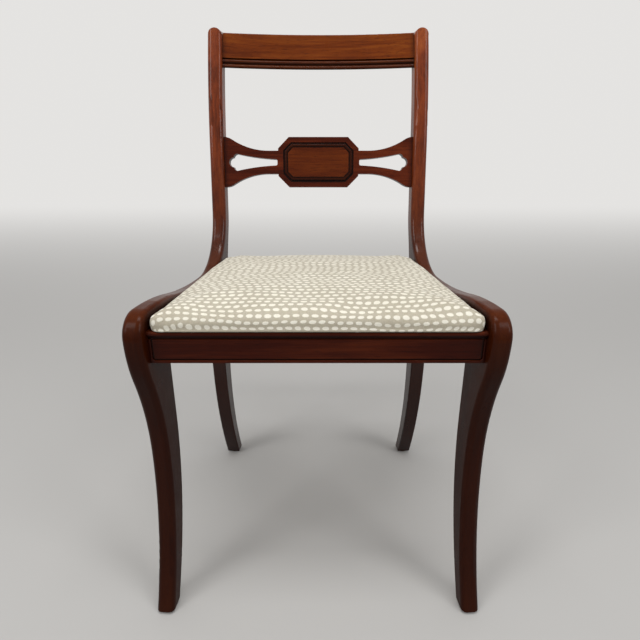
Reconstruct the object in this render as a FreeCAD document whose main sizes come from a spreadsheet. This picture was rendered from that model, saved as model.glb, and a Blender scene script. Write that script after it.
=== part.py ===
import FreeCAD, Part
import math
import os
import Sketcher
from types import SimpleNamespace
from FreeCAD import Placement, Rotation, Vector

# A regency side chair: two flat, curved side frames that draw together towards the back, the rails
# between them, and a drop-in seat. It faces -Y and stands on the floor at z = 0.
#
# Driving dimensions in millimetres, with angles in degrees. In a side frame, y runs back from the
# front of the knees and z up from the floor.
SIZES = {
    # Side frames
    "frame_width": 460.5,
    "splay_angle": 4.9,
    "side_stock": 25.4,
    "edge_round": 7.5,
    "under_round": 2.0,
    "back_chamfer": 1.5,
    # Side rail and knee
    "seat_rail_z": 422.0,
    "frame_depth": 278.0,
    "knee_rise": 24.5,
    "knee_radius": 32.0,
    "under_knee_radius": 170.0,
    "rail_turn": 0.37,
    "side_rail_height": 48.0,
    "rail_corner": 8.0,
    "joint_lean": 8.0,
    # Front leg
    "toe_reach": 16.0,
    "front_foot_depth": 27.0,
    "shin_set": 32.0,
    "shin_z": 240.0,
    "calf_depth": 43.0,
    "calf_z": 275.0,
    # Back post and rear leg
    "sweep_radius": 105.0,
    "post_lean": 7.0,
    "post_bend_z": 640.0,
    "post_bend_radius": 1150.0,
    "post_top_z": 823.5,
    "post_depth": 26.0,
    "post_dome": 12.0,
    "back_turn": 21.0,
    "rear_leg_set": 38.0,
    "rear_leg_depth": 34.0,
    "rear_shin_z": 250.0,
    "rear_leg_rake": 43.0,
    "rear_foot_depth": 24.0,
    # Front and back rails
    "front_rail_set": 14.0,
    "rail_stock": 22.0,
    "rail_rise": 1.5,
    "front_rail_height": 41.5,
    "back_rail_set": 58.0,
    "back_rail_height": 44.0,
    "top_bead": 8.0,
    "top_bead_proud": 2.5,
    "fascia_groove": 2.4,
    "fascia_groove_depth": 2.0,
    "fascia_round": 1.2,
    "lower_bead": 3.5,
    "return_bead": 3.5,
    "return_corner": 3.0,
    # Crest rail
    "crest_drop": 5.5,
    "crest_height": 58.5,
    "crest_stock": 16.0,
    "crest_foot_rise": 7.0,
    "crest_recess": 9.0,
    "crest_bow_radius": 1660.0,
    "crest_round": 2.0,
    "reed_height": 6.6,
    "reed_proud": 2.2,
    "reed_groove": 1.6,
    "reed_groove_depth": 0.8,
    # Pierced cross rail and its panel
    "mid_rail_z": 603.0,
    "mid_stock": 16.0,
    "mid_recess": 6.0,
    "arm_end_height": 87.5,
    "arm_neck_height": 40.2,
    "arm_flare_length": 80.0,
    "arm_flare_radius": 27.0,
    "tablet_width": 146.0,
    "tablet_height": 87.0,
    "tablet_chamfer": 19.5,
    "tablet_border": 9.0,
    "tablet_recess": 3.0,
    "panel_gap": 3.0,
    "panel_proud": 2.0,
    "panel_bead": 4.0,
    "panel_groove": 2.4,
    "panel_groove_depth": 1.5,
    "panel_round": 1.5,
    # Slot through each arm
    "slot_wood": 1.5,
    "slot_end_height": 11.0,
    "slot_end_round": 3.0,
    "slot_edge_radius": 400.0,
    "slot_shoulder_height": 29.6,
    "slot_shoulder_set": 23.0,
    "slot_shoulder_radius": 7.0,
    "slot_cusp_set": 16.5,
    "slot_lobe_radius": 8.5,
    # Dowels
    "dowel_diameter": 8.0,
    "dowel_clearance": 0.1,
    "dowel_in_side": 17.0,
    "dowel_in_rail": 20.0,
    "dowel_end_gap": 1.0,
    "dowel_spacing": 20.0,
    # Corner blocks and their screws
    "block_length": 58.0,
    "block_end": 14.0,
    "block_height": 26.0,
    "block_drop": 11.0,
    "screw_set": 43.0,
    "screw_seat": 16.0,
    "screw_length": 33.0,
    "screw_diameter": 4.0,
    "screw_head_diameter": 8.0,
    "screw_head_height": 2.6,
    "screw_clearance": 0.15,
    "head_clearance": 0.6,
    # Glides
    "glide_height": 4.0,
    "glide_diameter": 19.0,
    "glide_edge": 1.5,
    "glide_nail_diameter": 2.4,
    "glide_nail_length": 14.0,
    "nail_clearance": 0.1,
    # Drop-in seat
    "seat_gap": 0.3,
    "seat_side_gap": 1.0,
    "seat_front_set": 4.0,
    "seat_overhang": 3.0,
    "seat_corner": 12.0,
    "seat_tuck": 2.5,
    "seat_draw_in": 1.5,
    "seat_edge_rise": 8.0,
    "seat_edge_round": 14.0,
    "seat_back_ease": 2.4,
    "seat_crown": 31.0,
    "crown_reach": 110.0,
    "back_crown_reach": 135.0,
    "cover_thickness": 1.0,
    "cover_return": 48.0,
    "board_thickness": 11.0,
    "layer_gap": 0.2,
    "tack_inset": 38.0,
    "tack_head_diameter": 8.0,
    "tack_head_height": 0.9,
    "tack_diameter": 1.6,
    "tack_length": 9.0,
    "tack_clearance": 0.1,
}

LEFT_TURN = 1
RIGHT_TURN = -1
SIDES = {"left": -1, "right": 1}
# Sections of the seat: turns of its rounded edge in degrees, then shares of the way to its crown
EDGE_TURNS = (20, 40, 60, 76)
CROWN_SHARES = (0.25, 0.5, 0.75, 1.0)
TACKS_PER_EDGE = 4

doc = FreeCAD.newDocument("regency_side_chair")
sheet = doc.addObject("Spreadsheet::Sheet", "sizes")
for row, (alias, size) in enumerate(SIZES.items(), start=1):
    sheet.set(f"A{row}", alias)
    sheet.set(f"B{row}", str(size))
    sheet.setAlias(f"B{row}", alias)
doc.recompute()


class Dim:
    """A size, held as its value and as the sheet expression that gives it."""

    def __init__(self, text, value):
        self.text = text
        self.value = value

    def __add__(self, other):
        return Dim(f"({self.text} + {text_of(other)})", self.value + value_of(other))

    def __radd__(self, other):
        return Dim(f"({text_of(other)} + {self.text})", value_of(other) + self.value)

    def __sub__(self, other):
        return Dim(f"({self.text} - {text_of(other)})", self.value - value_of(other))

    def __rsub__(self, other):
        return Dim(f"({text_of(other)} - {self.text})", value_of(other) - self.value)

    def __mul__(self, other):
        return Dim(f"({self.text} * {text_of(other)})", self.value * value_of(other))

    def __rmul__(self, other):
        return Dim(f"({text_of(other)} * {self.text})", value_of(other) * self.value)

    def __truediv__(self, other):
        return Dim(f"({self.text} / {text_of(other)})", self.value / value_of(other))

    def __rtruediv__(self, other):
        return Dim(f"({text_of(other)} / {self.text})", value_of(other) / self.value)

    def __neg__(self):
        return Dim(f"(-{self.text})", -self.value)


def text_of(size):
    return size.text if isinstance(size, Dim) else f"({float(size)!r})"


def value_of(size):
    return size.value if isinstance(size, Dim) else float(size)


def root(size):
    return Dim(f"sqrt({text_of(size)})", math.sqrt(value_of(size)))


def sine(angle):
    return Dim(f"sin({text_of(angle)})", math.sin(math.radians(value_of(angle))))


def cosine(angle):
    return Dim(f"cos({text_of(angle)})", math.cos(math.radians(value_of(angle))))


def tangent(angle):
    return Dim(f"tan({text_of(angle)})", math.tan(math.radians(value_of(angle))))


def arcsine(ratio):
    return Dim(f"asin({text_of(ratio)})", math.degrees(math.asin(value_of(ratio))))


S = SimpleNamespace(**{alias: Dim(f"sizes.{alias}", float(sheet.get(alias))) for alias in SIZES})


# Sketches, features and placements

def add_body(name, placement=None):
    body = doc.addObject("PartDesign::Body", name)
    if placement:
        body.setExpression("Placement", placement)
    return body


def add_sketch(body, name, plane_role, offset=None):
    """An empty sketch on one of the body's own planes, moved along the plane's normal."""
    sketch = body.newObject("Sketcher::SketchObject", name)
    plane = next(item for item in body.Origin.OriginFeatures if item.Role == plane_role)
    sketch.AttachmentSupport = [(plane, "")]
    sketch.MapMode = "FlatFace"
    if offset is not None:
        sketch.setExpression("AttachmentOffset.Base.z", text_of(offset))
    return sketch


def constrain(sketch, size, *constraint):
    index = sketch.addConstraint(Sketcher.Constraint(*constraint, value_of(size)))
    if isinstance(size, Dim):
        sketch.setExpression(f"Constraints[{index}]", size.text)


def draw_loop(sketch, corners):
    """A closed outline. A corner is (x, y), or (x, y, turn, radius) where the edge that leaves it is
    an arc of under half a circle that turns left or right."""
    spots = [Vector(value_of(corner[0]), value_of(corner[1]), 0) for corner in corners]
    edges = []
    for corner, here, there in zip(corners, spots, spots[1:] + spots[:1]):
        if len(corner) == 2:
            edges.append((sketch.addGeometry(Part.LineSegment(here, there)), 1, 2))
            continue
        turn = corner[2]
        radius = value_of(corner[3])
        chord = there - here
        sagitta = radius - math.sqrt(radius**2 - (chord.Length / 2)**2)
        outward = Vector(chord.y, -chord.x, 0).normalize() * turn
        middle = (here + there) * 0.5 + outward * sagitta
        first, last = (here, there) if turn == LEFT_TURN else (there, here)
        arc = sketch.addGeometry(Part.Arc(first, middle, last))
        edges.append((arc, 1, 2) if turn == LEFT_TURN else (arc, 2, 1))
        constrain(sketch, corner[3], "Radius", arc)
    for number, (edge, start, _) in enumerate(edges):
        before, _, end = edges[number - 1]
        sketch.addConstraint(Sketcher.Constraint("Coincident", before, end, edge, start))
        constrain(sketch, corners[number][0], "DistanceX", edge, start)
        constrain(sketch, corners[number][1], "DistanceY", edge, start)


def add_pad(body, sketch, length, reverse=False, symmetric=False):
    feature = body.newObject("PartDesign::Pad", f"{sketch.Name}_pad")
    feature.Profile = sketch
    feature.setExpression("Length", text_of(length))
    feature.Reversed = reverse
    if symmetric:
        feature.SideType = "Symmetric"
    doc.recompute()
    return feature


def add_pocket(body, sketch, length, reverse=False, symmetric=False):
    before = body.Shape.Volume
    feature = body.newObject("PartDesign::Pocket", f"{sketch.Name}_pocket")
    feature.Profile = sketch
    feature.setExpression("Length", text_of(length))
    feature.Reversed = reverse
    if symmetric:
        feature.SideType = "Symmetric"
    doc.recompute()
    if not body.Shape.Volume < before:
        raise ValueError(f"{feature.Name} cuts nothing")
    return feature


def edges_through(feature, spots):
    """Names of a feature's edges that pass through the given spots."""
    near = 1e-3
    names = []
    for number, edge in enumerate(feature.Shape.Edges, start=1):
        if any(edge.distToShape(Part.Vertex(spot))[0] < near for spot in spots):
            names.append(f"Edge{number}")
    return names


def add_fillet(body, base, spots, radius):
    feature = body.newObject("PartDesign::Fillet", f"{base.Name}_fillet")
    feature.Base = (base, edges_through(base, spots))
    feature.setExpression("Radius", text_of(radius))
    doc.recompute()
    return feature


def add_chamfer(body, base, spots, size):
    feature = body.newObject("PartDesign::Chamfer", f"{base.Name}_chamfer")
    feature.Base = (base, edges_through(base, spots))
    feature.setExpression("Size", text_of(size))
    doc.recompute()
    return feature


def spot(x, y, z):
    return Vector(value_of(x), value_of(y), value_of(z))


def placed(x, y, z, axis=(0, 0, 1), angle=0, within=""):
    """A placement expression, in the chair's frame or within another object's placement."""
    base = f"vector({text_of(x)}; {text_of(y)}; {text_of(z)})"
    turn = f"rotation(vector({axis[0]}; {axis[1]}; {axis[2]}); {text_of(angle)})"
    text = f"placement({base}; {turn})"
    return f"{within}.Placement * {text}" if within else text


def add_boolean(kind, label, base, tool):
    result = doc.addObject(f"Part::{kind}", label)
    result.Base = base
    result.Tool = tool
    return result


def add_compound(label, members):
    group = doc.addObject("Part::Compound", label)
    group.Links = members
    return group


def add_cylinder(name, radius, length, placement):
    cylinder = doc.addObject("Part::Cylinder", name)
    cylinder.setExpression("Radius", text_of(radius))
    cylinder.setExpression("Height", text_of(length))
    cylinder.setExpression("Placement", placement)
    return cylinder


def add_turned(name, profile, placement):
    """A solid of revolution about z, from (radius, z) corners that start and end on the axis."""
    body = add_body(name, placement)
    sketch = add_sketch(body, f"{name}_profile", "XZ_Plane")
    draw_loop(sketch, profile)
    feature = body.newObject("PartDesign::Revolution", f"{name}_turn")
    feature.Profile = sketch
    feature.ReferenceAxis = (sketch, ["V_Axis"])
    doc.recompute()
    return body


# Places that several pieces share

COS_SPLAY = cosine(S.splay_angle)
SIN_SPLAY = sine(S.splay_angle)
TAN_SPLAY = tangent(S.splay_angle)
RAIL_TOP_Z = S.seat_rail_z + S.rail_rise
FRONT_RAIL_BOTTOM_Z = RAIL_TOP_Z - S.front_rail_height
SIDE_RAIL_BOTTOM_Z = S.seat_rail_z - S.side_rail_height
BACK_RAIL_Y = S.frame_depth + S.back_rail_set
CALF_Y = S.shin_set + S.calf_depth
REAR_SHIN_Y = S.frame_depth + S.rear_leg_set
REAR_HEEL_Y = REAR_SHIN_Y + S.rear_leg_depth + S.rear_leg_rake
CORNER_MIDDLE = S.rail_corner * (1 - math.sqrt(0.5))


def inner_half_width(y):
    """Half the width between the side frames, at a distance behind the knees."""
    return S.frame_width / 2 - S.side_stock / COS_SPLAY - y * TAN_SPLAY


def leg_joint_y(z):
    return CALF_Y + CORNER_MIDDLE - (z - SIDE_RAIL_BOTTOM_Z + CORNER_MIDDLE) * tangent(S.joint_lean)


def post_joint_y(z):
    return REAR_SHIN_Y - CORNER_MIDDLE + (z - SIDE_RAIL_BOTTOM_Z + CORNER_MIDDLE) * tangent(S.joint_lean)


# Side frames

def arc_radius(along, across):
    """Radius of an arc that starts along one direction and ends this far across it."""
    return (along * along + across * across) / (across * 2)


def between(start, end, share):
    return (start[0] + (end[0] - start[0]) * share, start[1] + (end[1] - start[1]) * share)


SWEEP_END = (
    S.frame_depth + S.sweep_radius * cosine(S.post_lean),
    S.seat_rail_z + S.sweep_radius * (1 - sine(S.post_lean)),
)
BEND = (SWEEP_END[0] + (S.post_bend_z - SWEEP_END[1]) * tangent(S.post_lean), S.post_bend_z)


def post_lean_at(z):
    """The post's lean above its bend."""
    return arcsine(sine(S.post_lean) + (z - S.post_bend_z) / S.post_bend_radius)


def post_front_y(z):
    """Front edge of the post above its bend."""
    return BEND[0] + S.post_bend_radius * (cosine(S.post_lean) - cosine(post_lean_at(z)))


def post_back_y(z):
    """Back edge of the post above its bend, an arc about the same centre as the front."""
    radius = S.post_bend_radius - S.post_depth
    lean = arcsine((S.post_bend_radius * sine(S.post_lean) + z - S.post_bend_z) / radius)
    return BEND[0] + S.post_bend_radius * cosine(S.post_lean) - radius * cosine(lean)


CREST_MIDDLE_Z = S.post_top_z - S.crest_drop - S.crest_height / 2
CREST_LEAN = post_lean_at(CREST_MIDDLE_Z)
CREST_END_Y = post_front_y(CREST_MIDDLE_Z) + S.crest_recess
CREST_END_X = inner_half_width(CREST_END_Y)


def crest_depth(radius, x):
    """How far an arc of the crest's bow lies behind the bow's centre, at a distance to one side."""
    return root(radius * radius - x * x)


CREST_END_DEPTH = crest_depth(S.crest_bow_radius, CREST_END_X)
# The chair's front and back ends, behind the knees, and the knees' own place that centres it on y = 0
FRONT_END_Y = -(
    S.edge_round + (S.toe_reach - S.edge_round) * COS_SPLAY + (S.side_stock - S.edge_round) * SIN_SPLAY
)
BACK_END_Y = (
    CREST_END_Y
    + (S.crest_bow_radius + S.crest_stock - S.crest_round - CREST_END_DEPTH) * cosine(CREST_LEAN)
    + (S.crest_height / 2 - S.crest_round) * sine(CREST_LEAN)
    + S.crest_round
)
KNEE_Y = -(FRONT_END_Y + BACK_END_Y) / 2


# The legs' curves run on below the floor, and their feet are trimmed level afterwards.
LEG_END_Z = -S.glide_height


def leg_curve(waist, foot_y, way):
    """End and radius of a leg's lower curve, which leaves the waist upright and passes through the
    foot. way is +1 where the curve kicks back and -1 where it kicks forward."""
    radius = arc_radius(waist[1] - S.glide_height, (foot_y - waist[0]) * way)
    drop = waist[1] - LEG_END_Z
    end_y = waist[0] + (radius - root(radius * radius - drop * drop)) * way
    return (end_y, LEG_END_Z), radius


def side_outline():
    """Outline of a whole side frame, from the front toe up over the knee, along the rail, up the post
    and down the back."""
    knee = (0, S.seat_rail_z + S.knee_rise - S.knee_radius)
    knee_top = (S.knee_radius, S.seat_rail_z + S.knee_rise)
    shin = (S.shin_set, S.shin_z)
    shin_whole = arc_radius(knee[1] - shin[1], S.shin_set)
    knee_turn = 1 - S.under_knee_radius / shin_whole
    under_knee = between(shin, knee, knee_turn)
    rail_low = (S.frame_depth, S.seat_rail_z)
    rail_whole = arc_radius(rail_low[0] - knee_top[0], S.knee_rise)
    rail_middle = between(knee_top, rail_low, S.rail_turn)
    blank_top_z = S.post_top_z + S.post_dome / 2
    post_top = (post_front_y(blank_top_z), blank_top_z)
    back_top = (post_back_y(blank_top_z), blank_top_z)
    depth_y = S.post_depth * cosine(S.post_lean)
    depth_z = S.post_depth * sine(S.post_lean)
    back_bend = (BEND[0] + depth_y, BEND[1] - depth_z)
    back_sweep = (SWEEP_END[0] + depth_y, SWEEP_END[1] - depth_z)
    back_radius = S.sweep_radius + S.post_depth
    back_low = (
        rail_low[0] + back_radius * cosine(S.back_turn),
        rail_low[1] + S.sweep_radius - back_radius * sine(S.back_turn),
    )
    back_waist_y = REAR_HEEL_Y - S.rear_leg_rake
    waist_radius = (back_low[0] - back_waist_y) / (1 - cosine(S.back_turn))
    back_waist = (back_waist_y, back_low[1] - waist_radius * sine(S.back_turn))
    rear_shin = (REAR_SHIN_Y, S.rear_shin_z)
    calf = (CALF_Y, S.calf_z)
    toe_end, toe_radius = leg_curve(shin, -S.toe_reach, -1)
    front_heel_end, front_heel_radius = leg_curve(calf, S.front_foot_depth - S.toe_reach, -1)
    rear_heel_end, rear_heel_radius = leg_curve(back_waist, REAR_HEEL_Y, 1)
    rear_toe_end, rear_toe_radius = leg_curve(rear_shin, REAR_HEEL_Y - S.rear_foot_depth, 1)
    corner_z = SIDE_RAIL_BOTTOM_Z - S.rail_corner
    return [
        (*toe_end, LEFT_TURN, toe_radius),
        (*shin, LEFT_TURN, shin_whole * knee_turn),
        (*under_knee, RIGHT_TURN, S.under_knee_radius),
        (*knee, RIGHT_TURN, S.knee_radius),
        (*knee_top, RIGHT_TURN, rail_whole * S.rail_turn),
        (*rail_middle, LEFT_TURN, rail_whole * (1 - S.rail_turn)),
        (*rail_low, LEFT_TURN, S.sweep_radius),
        SWEEP_END,
        (*BEND, RIGHT_TURN, S.post_bend_radius),
        post_top,
        (*back_top, LEFT_TURN, S.post_bend_radius - S.post_depth),
        back_bend,
        (*back_sweep, RIGHT_TURN, back_radius),
        (*back_low, LEFT_TURN, waist_radius),
        (*back_waist, LEFT_TURN, rear_heel_radius),
        rear_heel_end,
        (*rear_toe_end, RIGHT_TURN, rear_toe_radius),
        rear_shin,
        (REAR_SHIN_Y, corner_z, LEFT_TURN, S.rail_corner),
        (REAR_SHIN_Y - S.rail_corner, SIDE_RAIL_BOTTOM_Z),
        (CALF_Y + S.rail_corner, SIDE_RAIL_BOTTOM_Z, LEFT_TURN, S.rail_corner),
        (CALF_Y, corner_z),
        (*calf, RIGHT_TURN, front_heel_radius),
        front_heel_end,
    ]


def add_side_blank(side):
    """One side frame in a single outline, with its long edges rounded and its post domed. Within it,
    x = 0 is the outer face."""
    inward = -SIDES[side]
    name = f"{side}_side"
    placement = placed(S.frame_width / 2 * SIDES[side], KNEE_Y, 0, (0, 0, SIDES[side]), S.splay_angle)
    body = add_body(name, placement)
    sketch = add_sketch(body, f"{name}_outline", "YZ_Plane")
    draw_loop(sketch, side_outline())
    pad = add_pad(body, sketch, S.side_stock, reverse=inward < 0)
    faces = (0, S.side_stock * inward)
    front = between(SWEEP_END, BEND, 0.5)
    rounded = add_fillet(body, pad, [spot(x, *front) for x in faces], S.edge_round)
    under = ((CALF_Y + REAR_SHIN_Y) / 2, SIDE_RAIL_BOTTOM_Z)
    eased = add_fillet(body, rounded, [spot(x, *under) for x in faces], S.under_round)
    back = (front[0] + S.post_depth * cosine(S.post_lean), front[1] - S.post_depth * sine(S.post_lean))
    add_chamfer(body, eased, [spot(x, *back) for x in faces], S.back_chamfer)
    add_dome(body, name, inward)
    return body


def add_dome(body, name, inward):
    """Rounds the post's top from side to side, with an arch cut along the chair's depth."""
    sketch = add_sketch(body, f"{name}_dome", "XZ_Plane")
    spring_z = S.post_top_z - S.post_dome
    above_z = S.post_top_z + S.post_dome * 2
    arch = arc_radius(S.side_stock / 2, S.post_dome)
    outer_x = min(0, inward) * S.side_stock
    inner_x = max(0, inward) * S.side_stock
    draw_loop(sketch, [
        (outer_x, spring_z, RIGHT_TURN, arch),
        (inner_x, spring_z),
        (inner_x, above_z),
        (outer_x, above_z),
    ])
    add_pocket(body, sketch, S.frame_depth * 4, symmetric=True)


def add_zone(side, name, corners):
    """A block that holds one piece's share of a side frame."""
    inward = -SIDES[side]
    body = add_body(f"{side}_{name}", f"{side}_side.Placement")
    sketch = add_sketch(body, f"{side}_{name}_outline", "YZ_Plane", -S.side_stock * inward)
    draw_loop(sketch, corners)
    add_pad(body, sketch, S.side_stock * 3, reverse=inward < 0)
    return body


def add_side_pieces(side):
    """The front leg, side rail and back post: a side frame parted along its two slanted joints, with
    its feet trimmed level."""
    blank = add_side_blank(side)
    low_z = S.glide_height
    high_z = S.post_top_z * 2
    front_y = -S.frame_depth
    back_y = S.frame_depth * 3
    leg_joint = [(leg_joint_y(high_z), high_z), (leg_joint_y(low_z), low_z)]
    post_joint = [(post_joint_y(high_z), high_z), (post_joint_y(low_z), low_z)]
    leg_zone = add_zone(side, "leg_zone", [(front_y * 2, low_z), (front_y * 2, high_z), *leg_joint])
    rail_top = S.seat_rail_z + S.sweep_radius
    rail_low = S.seat_rail_z - S.sweep_radius
    rail_zone = add_zone(side, "rail_zone", [
        (leg_joint_y(rail_low), rail_low),
        (leg_joint_y(rail_top), rail_top),
        (post_joint_y(rail_top), rail_top),
        (post_joint_y(rail_low), rail_low),
    ])
    post_zone = add_zone(side, "post_zone", [*post_joint[::-1], (back_y, high_z), (back_y, low_z)])
    return {
        "front_leg": add_boolean("Common", f"{side}_leg_blank", blank, leg_zone),
        "side_rail": add_boolean("Common", f"{side}_rail_blank", blank, rail_zone),
        "back_post": add_boolean("Common", f"{side}_post_blank", blank, post_zone),
    }


# Rails between the side frames

def add_between_sides():
    """The space between the side frames' inner faces, which trims the rails to fit it."""
    front_y = -S.frame_depth
    back_y = S.frame_depth * 2
    wedge = doc.addObject("Part::Wedge", "between_sides")
    limits = {
        "Xmin": -inner_half_width(front_y),
        "Xmax": inner_half_width(front_y),
        "X2min": -inner_half_width(back_y),
        "X2max": inner_half_width(back_y),
        "Ymin": front_y,
        "Ymax": back_y,
        "Zmin": 0,
        "Zmax": S.post_top_z * 2,
        "Z2min": 0,
        "Z2max": S.post_top_z * 2,
    }
    for name, size in limits.items():
        wedge.setExpression(name, text_of(size))
    wedge.setExpression("Placement", placed(0, KNEE_Y, 0))
    return wedge


def add_front_rail(space):
    """Beaded front rail: a round bead over a groove, then a fascia framed by a small bead."""
    body = add_body("front_rail_blank", placed(0, KNEE_Y, 0))
    face_y = S.front_rail_set
    back_y = face_y + S.rail_stock
    bead_z = RAIL_TOP_Z - S.top_bead
    groove_z = bead_z - S.fascia_groove
    groove_y = face_y + S.fascia_groove_depth
    bead_y = face_y - S.top_bead_proud + S.top_bead / 2
    section = add_sketch(body, "front_rail_section", "YZ_Plane")
    draw_loop(section, [
        (face_y, FRONT_RAIL_BOTTOM_Z),
        (face_y, groove_z - S.fascia_round, RIGHT_TURN, S.fascia_round),
        (face_y + S.fascia_round, groove_z),
        (groove_y, groove_z),
        (groove_y, bead_z),
        (bead_y, bead_z, RIGHT_TURN, S.top_bead / 2 * 1.001),
        (bead_y, RAIL_TOP_Z),
        (back_y, RAIL_TOP_Z),
        (back_y, FRONT_RAIL_BOTTOM_Z),
    ])
    add_pad(body, section, S.frame_width, symmetric=True)
    groove = add_sketch(body, "front_rail_groove", "XZ_Plane", -face_y)
    outer_x = inner_half_width(face_y) - S.return_bead
    inner_x = outer_x - S.fascia_groove
    outer_z = FRONT_RAIL_BOTTOM_Z + S.lower_bead
    inner_z = outer_z + S.fascia_groove
    round_x = outer_x - S.return_corner
    round_z = outer_z + S.return_corner
    draw_loop(groove, [
        (-outer_x, groove_z),
        (-outer_x, round_z, LEFT_TURN, S.return_corner),
        (-round_x, outer_z),
        (round_x, outer_z, LEFT_TURN, S.return_corner),
        (outer_x, round_z),
        (outer_x, groove_z),
        (inner_x, groove_z),
        (inner_x, inner_z),
        (-inner_x, inner_z),
        (-inner_x, groove_z),
    ])
    framed = add_pocket(body, groove, S.fascia_groove_depth)
    add_fillet(body, framed, [spot(0, face_y, outer_z)], S.fascia_round)
    return add_boolean("Common", "front_rail_trimmed", body, space)


def add_back_rail(space):
    body = add_body("back_rail_blank", placed(0, KNEE_Y, 0))
    section = add_sketch(body, "back_rail_section", "YZ_Plane")
    back_y = BACK_RAIL_Y + S.rail_stock
    bottom_z = RAIL_TOP_Z - S.back_rail_height
    draw_loop(section, [
        (BACK_RAIL_Y, bottom_z),
        (BACK_RAIL_Y, RAIL_TOP_Z),
        (back_y, RAIL_TOP_Z),
        (back_y, bottom_z),
    ])
    add_pad(body, section, S.frame_width, symmetric=True)
    return add_boolean("Common", "back_rail_trimmed", body, space)


def add_crest_rail(space):
    """Bowed top rail, its section turned about the centre of the bow, with two reeds at the foot."""
    centre_y = KNEE_Y + CREST_END_Y - CREST_END_DEPTH * cosine(CREST_LEAN)
    centre_z = CREST_MIDDLE_Z + CREST_END_DEPTH * sine(CREST_LEAN)
    body = add_body("crest_rail_blank", placed(0, centre_y, centre_z, (-1, 0, 0), CREST_LEAN))
    section = add_sketch(body, "crest_rail_section", "YZ_Plane")
    face_y = S.crest_bow_radius
    back_y = face_y + S.crest_stock
    foot_z = -S.crest_height / 2
    reed = arc_radius(S.reed_height / 2, S.reed_proud)
    quirk_y = face_y + S.reed_groove_depth
    front_y = face_y - S.reed_proud
    first_z = foot_z + S.reed_height
    second_z = first_z + S.reed_groove
    reeds_z = second_z + S.reed_height
    groove_z = reeds_z + S.reed_groove
    top_z = -foot_z
    draw_loop(section, [
        (face_y, foot_z, RIGHT_TURN, reed),
        (face_y, first_z),
        (quirk_y, first_z),
        (quirk_y, second_z),
        (face_y, second_z, RIGHT_TURN, reed),
        (face_y, reeds_z),
        (quirk_y, reeds_z),
        (quirk_y, groove_z),
        (front_y, groove_z),
        (front_y, top_z - S.crest_round, RIGHT_TURN, S.crest_round),
        (front_y + S.crest_round, top_z),
        (back_y - S.crest_round, top_z, RIGHT_TURN, S.crest_round),
        (back_y, top_z - S.crest_round),
        (back_y, foot_z + S.crest_foot_rise),
    ])
    bow = body.newObject("PartDesign::Revolution", "crest_rail_bow")
    bow.Profile = section
    bow.ReferenceAxis = (section, ["V_Axis"])
    bow.Midplane = True
    bow.setExpression("Angle", text_of(arcsine(S.frame_width / 2 / S.crest_bow_radius) * 2))
    doc.recompute()
    return add_boolean("Common", "crest_rail_trimmed", body, space)


MID_FRONT_Y = BEND[0] - (S.post_bend_z - S.mid_rail_z) * tangent(S.post_lean) + S.mid_recess
MID_END_X = inner_half_width(MID_FRONT_Y)


def octagon(inset):
    """The tablet's outline, drawn in evenly on all sides."""
    half_x = S.tablet_width / 2 - inset
    half_z = S.tablet_height / 2 - inset
    chamfer = S.tablet_chamfer - inset * (2 - math.sqrt(2))
    return [
        (half_x, chamfer - half_z),
        (half_x, half_z - chamfer),
        (half_x - chamfer, half_z),
        (chamfer - half_x, half_z),
        (-half_x, half_z - chamfer),
        (-half_x, chamfer - half_z),
        (chamfer - half_x, -half_z),
        (half_x - chamfer, -half_z),
    ]


def mid_rail_outline():
    """Octagon with an arm on each side, each arm flared in an ogee to meet its post."""
    neck_z = S.arm_neck_height / 2
    end_z = S.arm_end_height / 2
    end_x = S.frame_width / 2
    neck_x = MID_END_X - S.arm_flare_length
    flare = arc_radius(S.arm_flare_length, end_z - neck_z)
    post_turn = S.arm_flare_radius / flare
    turn_x = MID_END_X - S.arm_flare_length * post_turn
    turn_z = end_z - (end_z - neck_z) * post_turn
    neck_radius = flare - S.arm_flare_radius
    eight = octagon(0)
    side_x = S.tablet_width / 2
    return [
        (side_x, -neck_z),
        (neck_x, -neck_z, RIGHT_TURN, neck_radius),
        (turn_x, -turn_z, LEFT_TURN, S.arm_flare_radius),
        (MID_END_X, -end_z),
        (end_x, -end_z),
        (end_x, end_z),
        (MID_END_X, end_z, LEFT_TURN, S.arm_flare_radius),
        (turn_x, turn_z, RIGHT_TURN, neck_radius),
        (neck_x, neck_z),
        (side_x, neck_z),
        *eight[1:5],
        (-side_x, neck_z),
        (-neck_x, neck_z, RIGHT_TURN, neck_radius),
        (-turn_x, turn_z, LEFT_TURN, S.arm_flare_radius),
        (-MID_END_X, end_z),
        (-end_x, end_z),
        (-end_x, -end_z),
        (-MID_END_X, -end_z, LEFT_TURN, S.arm_flare_radius),
        (-turn_x, -turn_z, RIGHT_TURN, neck_radius),
        (-neck_x, -neck_z),
        (-side_x, -neck_z),
        *eight[5:],
        eight[0],
    ]


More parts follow.
